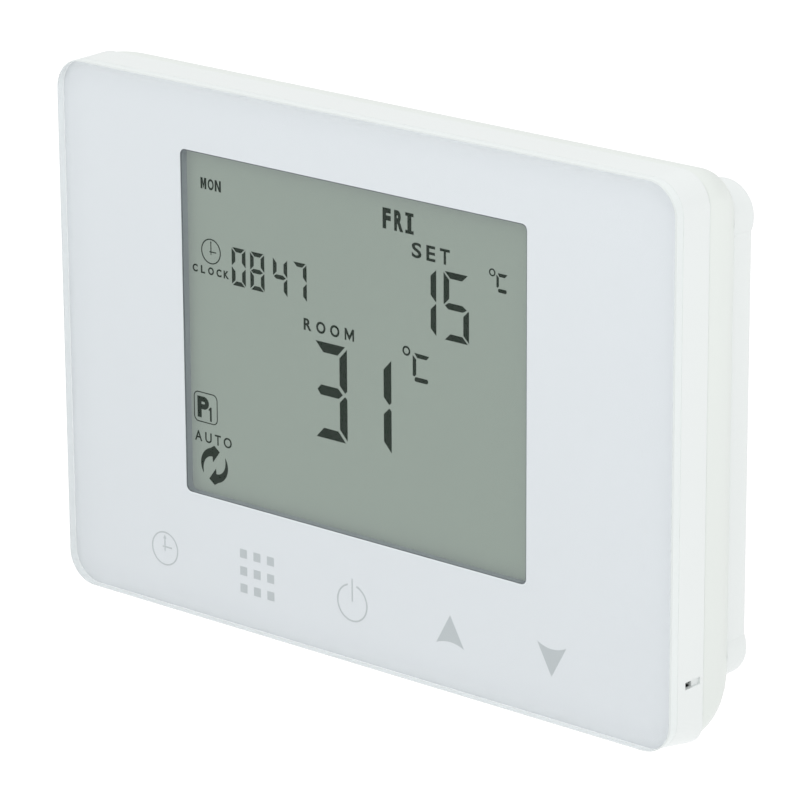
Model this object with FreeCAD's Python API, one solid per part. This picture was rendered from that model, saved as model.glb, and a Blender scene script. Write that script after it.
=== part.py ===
import FreeCAD, Part
import math
import os
from FreeCAD import Vector

# Wall-mounted programmable heating controller: a seven-day timer with a room thermostat.
# Millimetres. The origin is the centre of the face that lies on the wall, +X runs to the
# right as a person reads the display, +Z is up, and the display faces -Y.
# A "depth" is counted from the front face of the unit towards the wall.

# ---- outer envelope ----
WIDTH = 120.0
HEIGHT = 85.6
DEPTH = 23.5
CORNER_R = 5.1

# ---- depth stations, front to back ----
PANEL_T = 1.5
MASK_FRONT = 1.56
FRAME_FRONT = 1.70
PLATE_BACK = 3.0
PARTING = 8.0
PARTING_GAP = 0.3
SHELL_BACK = 18.5
FLANGE_FRONT = 16.9
BOX_FLOOR = 21.9

# ---- walls ----
FRAME_WALL = 2.0
SHELL_WALL = 1.6
BOX_WALL = 1.6

# ---- the frame's rear outline: it spreads a little, most of all at the bottom ----
REAR_W = 120.2
REAR_H = 86.2
REAR_Z = -0.25
REAR_CORNER_R = 5.1
REAR_LOW_CORNER_R = 3.6

# ---- rear shell: its sides lean inwards on one arc from the parting line to the back ----
SHELL_STEP = 0.3
SHELL_ARC_R = 20.7
SHELL_ARC_START = 7.0
SHELL_CORNER_R = 4.8
SHELL_LOW_CORNER_R = 3.9
SHELL_SECTIONS = 7
LIP_FRONT = 6.2
LIP_BACK = 9.6
LIP_INSET = 2.2
LIP_T = 1.0
FLANGE_OPENING = (100.0, 64.0, 8.0)
SHELL_POST_R = 3.2
SHELL_POST_FRONT = 12.0
CORE_R = 1.05
CORE_CAP = 0.6

# ---- vent slots in the underside ----
VENT_COUNT = 6
VENT_X0 = 34.0
VENT_PITCH = 3.2
VENT_W = 1.4
VENT_FRONT = 10.6
VENT_BACK = 15.4

# ---- front sheet and print ----
SHEET_EDGE_R = 0.3
MASK_MARGIN = 0.05
MASK_RIM = 0.6

# ---- display ----
WINDOW_X = -1.72
WINDOW_Z = 4.39
WINDOW_W = 67.8
WINDOW_H = 54.9
WINDOW_R = 1.0
POLARISER_FRONT = 3.0
CELL_FRONT = 4.12
CELL_BACK = 6.2
REFLECTOR_BACK = 6.4
GUIDE_FRONT = 6.45
GUIDE_BACK = 7.25
CELL_W = 76.0
CELL_H = 62.4
CONTACT_LEDGE = 5.2
FRAME_OPENING = (73.6, 60.4, 2.0)
BEZEL_SIZE = (80.0, 66.4, 2.0)
BEZEL_OPENING = (73.2, 60.0, 1.5)
BEZEL_PLAY = 0.1
POCKET_FRONT = 3.85
POLARISER_SIZE = (72.8, 59.6, 1.3)
REFLECTOR_SIZE = (74.0, 56.6, 0.4)
GUIDE_SIZE = (72.0, 56.6, 0.6)
LED_X0 = WINDOW_X - 37.4
LED_T = 1.2
LED_H = 3.0
LED_FRONT = 6.5
LED_SPACING = 16.0
ZEBRA_LENGTH = 66.0
ZEBRA_W = 2.0

# ---- touch keys, one pad behind each printed key ----
KEY_X = (-40.6, -21.1, -1.7, 17.6, 37.0)
KEY_Z = -33.7
PAD_R = 3.8

# ---- main board, on the back of the front frame ----
PCB_FRONT = 7.5
PCB_T = 1.6
PCB_BACK = PCB_FRONT + PCB_T
PCB_W = 108.0
PCB_H = 75.2
POST_X = 50.5
POST_Z = 34.0
POST_R = 2.6
PCB_HOLE_R = 1.3
FRAME_REAR_R = 0.25

# ---- parts on the main board ----
CHIP_X = 43.0
CHIP_Z = 12.0
CHIP_HALF = 5.0
CHIP_FRONT = PCB_BACK + 0.1
CHIP_BACK = PCB_BACK + 1.5
LEAD_COUNT = 11
LEAD_PITCH = 0.8
LEAD_W = 0.36
LEAD_T = 0.5
LEAD_REACH = 1.0
CRYSTAL_X = 40.0
CRYSTAL_Z = 1.0
CRYSTAL_R = 1.5
CRYSTAL_LENGTH = 8.0
SMALL_ROWS = (-6.0, -9.0, -12.0)
SMALL_COUNT = 5
SMALL_X0 = 36.5
SMALL_PITCH = 3.2
SMALL_SHIFT = 0.4
SMALL_SIZE = (2.0, 0.8, 1.2)
SENSOR_X = 45.0
SENSOR_Z = -29.0
SENSOR_R = 1.3
SENSOR_RISE = 4.2
SENSOR_LEG_R = 0.25
SENSOR_LEG_X = 0.7

# ---- top hooks and side latches ----
HOOK_X = 35.0
HOOK_W = 8.0
HOOK_TIP = 5.2
HOOK_REAR = 5.85
HOOK_TOP = 41.3
NOTCH_TOP = 41.6
NOTCH_FRONT = 4.9
NOTCH_BACK = 6.9
NOTCH_PLAY = 0.5
LATCH_Z = -32.6
LATCH_W = 5.0
LATCH_SKIN = 0.7
LATCH_PIVOT_X = 56.0
LATCH_PIVOT_DEPTH = 13.2
BEAD_R = 0.7
SOCKET_R = 0.8
SLOT_FRONT = 3.5
SLOT_BACK = 7.0
SLOT_H = 1.15
SLOT_HOLE_BACK = 5.3
SLOT_POCKET = 0.3
ARM_T = 1.0
ARM_FRONT = 3.4
SOCKET_REACH = 3.0
SOCKET_SIDE = 1.6
LATCH_PLAY = 0.5
BARB_FRONT = 4.15
BARB_BACK = 6.75
BARB_H = 0.95

# ---- back box ----
BOX_W = 112.0
BOX_H = 74.8
BOX_R = 3.6
BOX_EDGE_R = 0.6
BOX_Z = -0.35
BOSS_X = 51.3
BOSS_Z = 32.85
BOSS_R = 5.1
BOSS_EDGE_R = 0.5
COUNTERBORE_R = 2.75
COUNTERBORE_FLOOR = 21.0
WALL_SCREW_SPACING = 60.0
WALL_SLOT_R = 2.1
WALL_SLOT_LENGTH = 9.0
CABLE_W = 24.0
CABLE_H = 12.0
BOX_SCREW_HOLE_R = 1.25
CASE_HEAD_R = 2.4
CASE_HEAD_T = 1.6
CASE_SCREW_TIP = 13.2

# ---- power board, in the back box ----
POWER_FRONT = 19.0
POWER_BACK = 20.6
POWER_W = 64.0
POWER_Z0 = 8.0
POWER_Z1 = 34.0
STANDOFFS = ((-28.5, 12.0), (28.5, 29.0))
STANDOFF_R = 3.0
STANDOFF_CORE_R = 0.85
STANDOFF_FLOOR = 23.1
BOARD_HOLE_R = 1.1
RELAY_X = (10.5, 30.5)
RELAY_Z = (13.0, 23.0)
RELAY_FRONT = 10.8
RELAY_EDGE_R = 0.6
CAPACITOR_X = -22.0
CAPACITOR_Z = 24.0
CAPACITOR_R = 3.15
CAPACITOR_FRONT = 11.4

# ---- leaf contacts between the two boards ----
FINGER_COUNT = 6
FINGER_PITCH = 2.54
FINGER_X0 = -7.0
FINGER_T = 0.25
FINGER_W = 1.5
FINGER_PRELOAD_GAP = 0.12

# ---- terminal block ----
POLES = 3
POLE_PITCH = 5.08
TERMINAL_X = -7.6
TERMINAL_Z0 = 10.0
TERMINAL_Z1 = 19.0
TERMINAL_FRONT = 10.4
SCREW_WELL_Z = 14.5
WIRE_HOLE_R = 1.4
WIRE_HOLE_DEPTH = 16.0
WELL_R = 1.95
CHAMBER = (13.4, 18.2)
CHAMBER_HALF = 1.9
BLOCK_BEVEL = 1.2
CAGE = (13.5, 18.1)
CAGE_HALF = 1.8
CAGE_HOLLOW = (14.6, 17.5)
CAGE_HOLLOW_HALF = 1.3
THREAD_R = 1.15
CLAMP_HEAD = (11.6, 13.2)
CLAMP_HEAD_R = 1.75
CLAMP_TIP = 15.4

# ---- batteries, size AAA ----
CELL_R = 5.25
AAA_BODY = 43.5
AAA_NUB = 0.9
AAA_NUB_R = 1.9
BAY_X0 = -41.5
BAY_X1 = 9.5
BAY_Z0 = -31.7
BAY_Z1 = -7.1
BAY_WALL = 1.0
BAY_TOP = 13.6
BAY_FLOOR = 21.0
BATTERY_DEPTH = 15.7
BATTERY_Z = (-25.05, -13.75)
BATTERY_X0 = -37.5
BATTERY_EDGE_R = 0.5
RIB_HALF = 0.35
SCOOP_R = 7.0
SCOOP_DEPTH = 11.1
CONTACT_T = 0.3
SPRING_R = 2.7
WIRE_R = 0.28
SPRING_GAP = 0.3


def y_at(depth):
    """The Y of a plane at this depth behind the front face."""
    return depth - DEPTH


def block(x0, x1, d0, d1, z0, z1):
    """A box between two X, two depths and two Z."""
    corner = Vector(x0, y_at(d0), z0)
    return Part.makeBox(x1 - x0, d1 - d0, z1 - z0, corner)


def rod(x, z, r, d0, d1):
    """A round bar along Y between two depths."""
    return Part.makeCylinder(r, d1 - d0, Vector(x, y_at(d0), z), Vector(0, 1, 0))


def outline(w, h, radius, depth, x=0.0, z=0.0, low_radius=None):
    """A closed rectangle with rounded corners, in the plane at this depth; the two lower
    corners may have a radius of their own."""
    y = y_at(depth)
    edges = []
    corners = ((1, 1, 0), (-1, 1, 90), (-1, -1, 180), (1, -1, 270))
    points = []
    for sx, sz, start in corners:
        r = low_radius if low_radius and sz < 0 else radius
        centre = Vector(x + sx * (w / 2 - r), y, z + sz * (h / 2 - r))
        arc = []
        for turn in (0, 45, 90):
            a = math.radians(start + turn)
            arc.append(centre + Vector(r * math.cos(a), 0, r * math.sin(a)))
        points.append(arc)
    for i, arc in enumerate(points):
        edges.append(Part.Arc(*arc).toShape())
        edges.append(Part.LineSegment(arc[2], points[(i + 1) % 4][0]).toShape())
    return Part.Wire(edges)


def plate(w, h, r, d0, d1, x=0.0, z=0.0):
    """A flat plate with rounded corners between two depths."""
    return Part.Face(outline(w, h, r, d0, x, z)).extrude(Vector(0, d1 - d0, 0))


def behind_window(size, d0, d1):
    """A plate of this (width, height, corner radius), centred on the display."""
    return plate(*size, d0, d1, WINDOW_X, WINDOW_Z)


def four_corners(x, z):
    """The four places at plus and minus this X and Z."""
    return [(sx * x, sz * z) for sx in (-1, 1) for sz in (-1, 1)]


def group(solids):
    return Part.makeCompound(solids)


def edges_in_plane(shape, depth):
    """The edges of a shape that lie wholly in the plane at this depth."""
    y = y_at(depth)
    return [e for e in shape.Edges if all(abs(v.Y - y) < 1e-4 for v in e.Vertexes)]


def boss_places():
    """The centres of the four corner bosses, where the case screws run."""
    return [(x, z + BOX_Z) for x, z in four_corners(BOSS_X, BOSS_Z)]


def mirrored_x(shape):
    return shape.mirror(Vector(0, 0, 0), Vector(1, 0, 0))


def screw(x, z, shank_r, head_r, head_d0, head_d1, tip, facing):
    """A pan-head screw along Y; facing is +1 where its head looks at the wall."""
    seat = head_d0 if facing > 0 else head_d1
    lo, hi = min(tip, seat), max(tip, seat)
    body = rod(x, z, shank_r, lo, hi).fuse(rod(x, z, head_r, head_d0, head_d1))
    slot_w = 0.5
    slot_deep = 0.8
    arm = head_r * 0.62
    top = head_d1 if facing > 0 else head_d0
    d0 = top - slot_deep if facing > 0 else top - 0.1
    d1 = top + 0.1 if facing > 0 else top + slot_deep
    cross = block(x - arm, x + arm, d0, d1, z - slot_w / 2, z + slot_w / 2)
    cross = cross.fuse(block(x - slot_w / 2, x + slot_w / 2, d0, d1, z - arm, z + arm))
    return body.cut(cross)


# ---------------------------------------------------------------- front unit

def front_panel():
    """The clear front sheet, with a softened front edge."""
    sheet = plate(WIDTH, HEIGHT, CORNER_R, 0, PANEL_T)
    return sheet.makeFillet(SHEET_EDGE_R, edges_in_plane(sheet, 0))


def printed_mask():
    """The white print film behind the sheet, open at the display, with a raised rim."""
    inner = MASK_MARGIN + MASK_RIM
    film = plate(WIDTH - 2 * MASK_MARGIN, HEIGHT - 2 * MASK_MARGIN, CORNER_R - MASK_MARGIN,
                 PANEL_T, FRAME_FRONT)
    room = plate(WIDTH - 2 * inner, HEIGHT - 2 * inner, CORNER_R - inner, 0, MASK_FRONT)
    window = (WINDOW_W, WINDOW_H, WINDOW_R)
    return film.cut(room).cut(behind_window(window, MASK_FRONT - 1, FRAME_FRONT + 1))


def latch_side_cut():
    """What the right-hand latch needs from the frame: a shallow slot that is pierced at its
    front end for the releasing blade, and a relief behind it."""
    z0, z1 = LATCH_Z - SLOT_H / 2, LATCH_Z + SLOT_H / 2
    hole = block(WIDTH / 2 - 3, WIDTH / 2 + 1, SLOT_FRONT, SLOT_HOLE_BACK, z0, z1)
    slot = block(WIDTH / 2 - SLOT_POCKET, WIDTH / 2 + 1, SLOT_FRONT, SLOT_BACK, z0, z1)
    inner = WIDTH / 2 - FRAME_WALL
    relief = block(inner - 1, WIDTH / 2 - LATCH_SKIN, PLATE_BACK, PARTING,
                   LATCH_Z - LATCH_W / 2 - LATCH_PLAY, LATCH_Z + LATCH_W / 2 + LATCH_PLAY)
    return slot.multiFuse([hole, relief])


def front_frame():
    """The white ring behind the sheet, with the display opening and the board posts."""
    rear = PARTING - PARTING_GAP / 2
    ring = Part.makeLoft([outline(WIDTH, HEIGHT, CORNER_R, FRAME_FRONT),
                          outline(REAR_W, REAR_H, REAR_CORNER_R, rear, 0, REAR_Z,
                                  REAR_LOW_CORNER_R)], True, True)
    ring = ring.makeFillet(FRAME_REAR_R, edges_in_plane(ring, rear))
    hollow = plate(WIDTH - 2 * FRAME_WALL, HEIGHT - 2 * FRAME_WALL,
                   CORNER_R - FRAME_WALL, PLATE_BACK, PARTING + 1)
    body = ring.cut(hollow)
    body = body.cut(behind_window(FRAME_OPENING, FRAME_FRONT - 1, PLATE_BACK + 1))
    for x in KEY_X:
        body = body.cut(rod(x, KEY_Z, PAD_R + 0.8, FRAME_FRONT - 1, PLATE_BACK + 1))
    for x, z in four_corners(POST_X, POST_Z):
        post = rod(x, z, POST_R, PLATE_BACK - 0.5, PCB_FRONT)
        body = body.fuse(post.cut(rod(x, z, CORE_R, PLATE_BACK + 0.3, PCB_FRONT + 1)))
    reach = HOOK_W / 2 + NOTCH_PLAY
    for x in (-HOOK_X, HOOK_X):
        body = body.cut(block(x - reach, x + reach, NOTCH_FRONT, NOTCH_BACK,
                              HEIGHT / 2 - FRAME_WALL - 1, NOTCH_TOP))
    cut = latch_side_cut()
    return body.cut(cut).cut(mirrored_x(cut)).removeSplitter()


def lcd_bezel():
    """The holder that clamps the display between the frame and the main board."""
    ring = behind_window(BEZEL_SIZE, PLATE_BACK + BEZEL_PLAY, PCB_FRONT - BEZEL_PLAY)
    cell_room = (CELL_W + 0.4, CELL_H + 0.4, 0.6)
    pocket = behind_window(cell_room, POCKET_FRONT, PCB_FRONT + 1)
    return ring.cut(pocket).cut(behind_window(BEZEL_OPENING, PLATE_BACK - 1, PCB_FRONT))


def lcd_polariser():
    """The cover plate with its polariser, which stands forward through the holder's opening."""
    return behind_window(POLARISER_SIZE, POLARISER_FRONT, CELL_FRONT)


def lcd_cell():
    """Two glass plates, the rear one shorter at top and bottom where the contacts lie."""
    middle = (CELL_FRONT + CELL_BACK) / 2
    front = behind_window((CELL_W, CELL_H, 0.4), CELL_FRONT, middle)
    rear = behind_window((CELL_W, CELL_H - CONTACT_LEDGE, 0.4), middle, CELL_BACK)
    return front.fuse(rear)


def lcd_reflector():
    return behind_window(REFLECTOR_SIZE, CELL_BACK, REFLECTOR_BACK)


def light_guide():
    return behind_window(GUIDE_SIZE, GUIDE_FRONT, GUIDE_BACK)


def backlight_leds():
    """Side-view lamps at the left edge of the light guide."""
    made = []
    for i in (-1, 0, 1):
        z = WINDOW_Z + i * LED_SPACING
        made.append(block(LED_X0, LED_X0 + LED_T, LED_FRONT, PCB_FRONT, z - LED_H / 2, z + LED_H / 2))
    return group(made)


def zebra_strips():
    """Elastomer contact strips between the front glass and the main board."""
    middle = (CELL_FRONT + CELL_BACK) / 2
    inner = (CELL_H - CONTACT_LEDGE) / 2 + 0.3
    half = ZEBRA_LENGTH / 2
    strips = []
    for side in (-1, 1):
        z0 = WINDOW_Z + side * inner
        z1 = z0 + side * ZEBRA_W
        strips.append(block(WINDOW_X - half, WINDOW_X + half, middle, PCB_FRONT,
                            min(z0, z1), max(z0, z1)))
    return group(strips)


def touch_pads():
    """Conductive foam pads from the main board to the back of the print."""
    return group([rod(x, KEY_Z, PAD_R, FRAME_FRONT, PCB_FRONT) for x in KEY_X])


def main_pcb():
    board = plate(PCB_W, PCB_H, 2.0, PCB_FRONT, PCB_BACK)
    for x, z in four_corners(POST_X, POST_Z):
        board = board.cut(rod(x, z, PCB_HOLE_R, PCB_FRONT - 1, PCB_BACK + 1))
    return board


def pcb_screws():
    tip = PLATE_BACK + 0.5
    return group([screw(x, z, 1.0, 2.1, PCB_BACK, PCB_BACK + 1.2, tip, 1)
                  for x, z in four_corners(POST_X, POST_Z)])


def controller_chip():
    """The flat square controller, with gull-wing leads on all four sides."""
    x, z, half = CHIP_X, CHIP_Z, CHIP_HALF
    body = block(x - half, x + half, CHIP_FRONT, CHIP_BACK, z - half, z + half)
    body = body.makeChamfer(0.2, body.Edges)
    leads = []
    top = PCB_BACK + LEAD_T
    for i in range(LEAD_COUNT):
        lo = (i - (LEAD_COUNT - 1) / 2) * LEAD_PITCH - LEAD_W / 2
        hi = lo + LEAD_W
        for side in (-1, 1):
            a, b = sorted((side * (half - 0.4), side * (half + LEAD_REACH)))
            leads.append(block(x + a, x + b, PCB_BACK, top, z + lo, z + hi))
            leads.append(block(x + lo, x + hi, PCB_BACK, top, z + a, z + b))
    return body.multiFuse(leads)


def clock_crystal():
    """The can of the clock crystal, lying on the board."""
    end = Vector(CRYSTAL_X, y_at(PCB_BACK + CRYSTAL_R), CRYSTAL_Z)
    return Part.makeCylinder(CRYSTAL_R, CRYSTAL_LENGTH, end, Vector(1, 0, 0))


def small_parts():
    """Chip capacitors and resistors on the main board."""
    length, rise, width = SMALL_SIZE
    made = []
    for row, z in enumerate(SMALL_ROWS):
        for i in range(SMALL_COUNT):
            x = SMALL_X0 + SMALL_PITCH * i + SMALL_SHIFT * row
            made.append(block(x, x + length, PCB_BACK, PCB_BACK + rise,
                              z - width / 2, z + width / 2))
    return group(made)


def room_sensor():
    """The bead thermistor on its two leads, near the vent slots."""
    bead = Part.makeSphere(SENSOR_R, Vector(SENSOR_X, y_at(PCB_BACK + SENSOR_RISE), SENSOR_Z))
    return bead.multiFuse([rod(SENSOR_X + side * SENSOR_LEG_X, SENSOR_Z, SENSOR_LEG_R,
                               PCB_BACK, PCB_BACK + SENSOR_RISE - 0.2) for side in (-1, 1)])


# ---------------------------------------------------------------- latches

def latch_right():
    """The springy snap tongue: a round root, a thin arm, and a ramped barb behind the slot."""
    root = LATCH_PIVOT_X
    arm_x0, arm_x1 = root - ARM_T / 2, root + ARM_T / 2
    z0, z1 = LATCH_Z - LATCH_W / 2, LATCH_Z + LATCH_W / 2
    arm = block(arm_x0, arm_x1, ARM_FRONT, LATCH_PIVOT_DEPTH, z0, z1)
    bead = Part.makeCylinder(BEAD_R, LATCH_W, Vector(root, y_at(LATCH_PIVOT_DEPTH), z0),
                             Vector(0, 0, 1))
    barb_x = WIDTH / 2 - LATCH_SKIN - 0.12
    ramp = [(arm_x1 - 0.2, BARB_FRONT - 0.4), (arm_x1, BARB_FRONT - 0.4),
            (barb_x, BARB_BACK - 1.1), (barb_x, BARB_BACK), (arm_x1 - 0.2, BARB_BACK)]
    pts = [Vector(x, y_at(d), LATCH_Z - BARB_H / 2) for x, d in ramp]
    barb = Part.Face(Part.makePolygon(pts + pts[:1])).extrude(Vector(0, 0, BARB_H))
    return arm.fuse(bead).fuse(barb).removeSplitter()


def latch_left():
    return mirrored_x(latch_right())


# ---------------------------------------------------------------- rear shell

def shell_inset(depth):
    """How far the rear shell's side lies inside the front frame's side."""
    run = max(0.0, depth - SHELL_ARC_START)
    return SHELL_STEP + SHELL_ARC_R - math.sqrt(SHELL_ARC_R ** 2 - run ** 2)


def shell_loft(front, back, wall):
    """The curved block that the shell's side makes, shrunk all round by a wall."""
    wires = []
    for i in range(SHELL_SECTIONS):
        depth = front + (back - front) * i / (SHELL_SECTIONS - 1)
        inset = shell_inset(depth) + wall
        wires.append(outline(REAR_W - 2 * inset, REAR_H - 2 * inset, SHELL_CORNER_R - 0.6 * wall,
                             depth, 0, REAR_Z, SHELL_LOW_CORNER_R - 0.6 * wall))
    return Part.makeLoft(wires, True, False)


def shell_posts():
    """The four screw posts, on the flange at the shell's back."""
    return [rod(x, z, SHELL_POST_R, SHELL_POST_FRONT, SHELL_BACK) for x, z in boss_places()]


def latch_socket():
    """The rib that holds the round root of the right-hand latch."""
    x = LATCH_PIVOT_X
    rib = block(x - SOCKET_SIDE, x + SOCKET_SIDE, LATCH_PIVOT_DEPTH,
                LATCH_PIVOT_DEPTH + SOCKET_REACH, LATCH_Z - LATCH_W / 2, LATCH_Z + LATCH_W / 2)
    return rib.common(shell_loft(PARTING, SHELL_BACK, 0.4))


def latch_clearance():
    """The room the right-hand latch needs through the lip and the socket rib."""
    x = LATCH_PIVOT_X
    z0 = LATCH_Z - LATCH_W / 2 - LATCH_PLAY
    length = LATCH_W + 2 * LATCH_PLAY
    room = block(x - 3.0, x + 2.0, LIP_FRONT - 1, LIP_BACK + 0.5, z0, z0 + length)
    bead = Part.makeCylinder(SOCKET_R, length, Vector(x, y_at(LATCH_PIVOT_DEPTH), z0),
                             Vector(0, 0, 1))
    return room, bead


def shell_lip():
    """The locating lip that the front frame slips over, with the two top hooks."""
    outer = LIP_INSET
    inner = LIP_INSET + LIP_T
    lip = plate(WIDTH - 2 * outer, HEIGHT - 2 * outer, CORNER_R - outer,
                LIP_FRONT, PARTING + PARTING_GAP)
    foot = plate(WIDTH - 2 * 1.5, HEIGHT - 2 * 1.5, CORNER_R - 1.5,
                 PARTING + PARTING_GAP / 2, LIP_BACK)
    hollow = plate(WIDTH - 2 * inner, HEIGHT - 2 * inner, CORNER_R - inner, 0, SHELL_BACK)
    lip = lip.fuse(foot).cut(hollow)
    for x in (-HOOK_X, HOOK_X):
        arm = block(x - HOOK_W / 2, x + HOOK_W / 2, HOOK_TIP, LIP_FRONT + 0.5,
                    HEIGHT / 2 - inner, HEIGHT / 2 - outer)
        tip = block(x - HOOK_W / 2, x + HOOK_W / 2, HOOK_TIP, HOOK_REAR,
                    HEIGHT / 2 - inner, HOOK_TOP)
        lip = lip.fuse(arm).fuse(tip)
    return lip


def vent_slots():
    """Slots in the underside, below the room sensor."""
    made = []
    for i in range(VENT_COUNT):
        x = VENT_X0 + VENT_PITCH * i
        made.append(block(x, x + VENT_W, VENT_FRONT, VENT_BACK, -HEIGHT / 2 - 1, -HEIGHT / 2 + 6))
    return made


def rear_shell():
    """The curved rear shell with its flange, screw posts, lip, hooks and latch sockets."""
    front = PARTING + PARTING_GAP / 2
    body = shell_loft(front, SHELL_BACK, 0).cut(shell_loft(front - 1, FLANGE_FRONT, SHELL_WALL))
    body = body.cut(plate(*FLANGE_OPENING, FLANGE_FRONT - 1, SHELL_BACK + 1))
    body = body.multiFuse(shell_posts() + [shell_lip()])
    rib = latch_socket()
    body = body.multiFuse([rib, mirrored_x(rib)])
    for cut in latch_clearance():
        body = body.cut(cut).cut(mirrored_x(cut))
    for slot in vent_slots():
        body = body.cut(slot)
    for x, z in boss_places():
        body = body.cut(rod(x, z, CORE_R, SHELL_POST_FRONT + CORE_CAP, SHELL_BACK + 1))
    return body


# ---------------------------------------------------------------- back box

def wall_slot(x):
    """A slot for a wall screw, running across."""
    reach = WALL_SLOT_LENGTH / 2 - WALL_SLOT_R
    ends = [rod(x + side * reach, 0, WALL_SLOT_R, BOX_FLOOR - 1, DEPTH + 1)
            for side in (-1, 1)]
    middle = block(x - reach, x + reach, BOX_FLOOR - 1, DEPTH + 1, -WALL_SLOT_R, WALL_SLOT_R)
    return middle.multiFuse(ends).removeSplitter()


def back_box():
    """The shallow box that lies on the wall, open to the front, with four corner bosses."""
    box = plate(BOX_W, BOX_H, BOX_R, SHELL_BACK, DEPTH, 0, BOX_Z)
    box = box.makeFillet(BOX_EDGE_R, edges_in_plane(box, DEPTH))
    hollow = plate(BOX_W - 2 * BOX_WALL, BOX_H - 2 * BOX_WALL, BOX_R - BOX_WALL + 0.4,
                   SHELL_BACK - 1, BOX_FLOOR, 0, BOX_Z)
    body = box.cut(hollow)
    for x, z in boss_places():
        boss = rod(x, z, BOSS_R, SHELL_BACK, DEPTH)
        body = body.fuse(boss.makeFillet(BOSS_EDGE_R, edges_in_plane(boss, DEPTH)))
    for x, z in boss_places():
        body = body.cut(rod(x, z, BOX_SCREW_HOLE_R, SHELL_BACK - 1, DEPTH + 1))
        body = body.cut(rod(x, z, COUNTERBORE_R, COUNTERBORE_FLOOR, DEPTH + 1))
    for x, z in STANDOFFS:
        body = body.fuse(rod(x, z, STANDOFF_R, POWER_BACK, BOX_FLOOR + 0.5))
        body = body.cut(rod(x, z, STANDOFF_CORE_R, POWER_BACK - 1, STANDOFF_FLOOR))
    for x in (-WALL_SCREW_SPACING / 2, WALL_SCREW_SPACING / 2):
        body = body.cut(wall_slot(x))
    cable = plate(CABLE_W, CABLE_H, 2.0, BOX_FLOOR - 1, DEPTH + 1)
    return body.cut(cable)


def case_screws():
    head_back = COUNTERBORE_FLOOR + CASE_HEAD_T
    return group([screw(x, z, 1.0, CASE_HEAD_R, COUNTERBORE_FLOOR, head_back, CASE_SCREW_TIP, 1)
                  for x, z in boss_places()])


# ---------------------------------------------------------------- power board

def power_board():
    board = block(-POWER_W / 2, POWER_W / 2, POWER_FRONT, POWER_BACK, POWER_Z0, POWER_Z1)
    for x, z in STANDOFFS:
        board = board.cut(rod(x, z, BOARD_HOLE_R, POWER_FRONT - 1, POWER_BACK + 1))
    return board


def board_screws():
    tip = STANDOFF_FLOOR - 0.2
    return group([screw(x, z, 0.8, 1.9, POWER_FRONT - 1.2, POWER_FRONT, tip, -1)
                  for x, z in STANDOFFS])


def pole_x(i):
    return TERMINAL_X + POLE_PITCH * (i + 0.5)


def terminal_block():
    """The moulded terminal block, with a wire mouth and a screw well for each pole."""
    body = block(TERMINAL_X, TERMINAL_X + POLES * POLE_PITCH, TERMINAL_FRONT, POWER_FRONT,
                 TERMINAL_Z0, TERMINAL_Z1)
    bevel = [e for e in edges_in_plane(body, TERMINAL_FRONT)
             if abs(e.Length - POLES * POLE_PITCH) < 0.01]
    body = body.makeChamfer(BLOCK_BEVEL, bevel)
    for i in range(POLES):
        x = pole_x(i)
        body = body.cut(rod(x, SCREW_WELL_Z, WELL_R, TERMINAL_FRONT - 1, CHAMBER[0]))
        body = body.cut(block(x - CHAMBER_HALF, x + CHAMBER_HALF, *CHAMBER,
                              TERMINAL_Z0 + 0.8, TERMINAL_Z1 - 1.2))
        start = Vector(x, y_at(WIRE_HOLE_DEPTH), TERMINAL_Z0 - 1)
        body = body.cut(Part.makeCylinder(WIRE_HOLE_R, 3.0, start, Vector(0, 0, 1)))
    return body


def terminal_cages():
    """The brass rising clamps inside the terminal block, each with a thread for its screw."""
    made = []
    for i in range(POLES):
        x = pole_x(i)
        cage = block(x - CAGE_HALF, x + CAGE_HALF, *CAGE, TERMINAL_Z0 + 0.9, TERMINAL_Z1 - 1.3)
        cage = cage.cut(block(x - CAGE_HOLLOW_HALF, x + CAGE_HOLLOW_HALF, *CAGE_HOLLOW,
                              TERMINAL_Z0, TERMINAL_Z1))
        made.append(cage.cut(rod(x, SCREW_WELL_Z, THREAD_R, CAGE[0] - 0.5, CAGE_HOLLOW[0] + 0.4)))
    return group(made)


def terminal_screws():
    made = []
    for i in range(POLES):
        x = pole_x(i)
        head = rod(x, SCREW_WELL_Z, CLAMP_HEAD_R, *CLAMP_HEAD)
        body = head.fuse(rod(x, SCREW_WELL_Z, THREAD_R - 0.05, CLAMP_HEAD[1], CLAMP_TIP))
        made.append(body.cut(block(x - 1.6, x + 1.6, CLAMP_HEAD[0] - 0.1, CLAMP_HEAD[0] + 0.8,
                                   SCREW_WELL_Z - 0.3, SCREW_WELL_Z + 0.3)))
    return group(made)


def relay():
    """The low latching relay that switches the boiler."""
    case = block(*RELAY_X, RELAY_FRONT, POWER_FRONT, *RELAY_Z)
    tall = [e for e in case.Edges if abs(e.Length - (POWER_FRONT - RELAY_FRONT)) < 1e-6]
    return case.makeFillet(RELAY_EDGE_R, tall)


def capacitor():
    """The electrolytic capacitor that carries the clock while the batteries are changed."""
    can = rod(CAPACITOR_X, CAPACITOR_Z, CAPACITOR_R, CAPACITOR_FRONT, POWER_FRONT)
    return can.makeFillet(0.4, edges_in_plane(can, CAPACITOR_FRONT))


def bent_strip(path, thickness, x0, x1):
    """A strip of sheet metal bent along a path of (z, depth) points, between two X."""
    left, right = [], []
    for i, (z, d) in enumerate(path):
        before = path[max(i - 1, 0)]
        after = path[min(i + 1, len(path) - 1)]
        dz, dd = after[0] - before[0], after[1] - before[1]
        scale = thickness / 2 / math.hypot(dz, dd)
        left.append(Vector(x0, y_at(d - dz * scale), z + dd * scale))
        right.append(Vector(x0, y_at(d + dz * scale), z - dd * scale))
    ring = left + right[::-1]
    return Part.Face(Part.makePolygon(ring + ring[:1])).extrude(Vector(x1 - x0, 0, 0))


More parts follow.
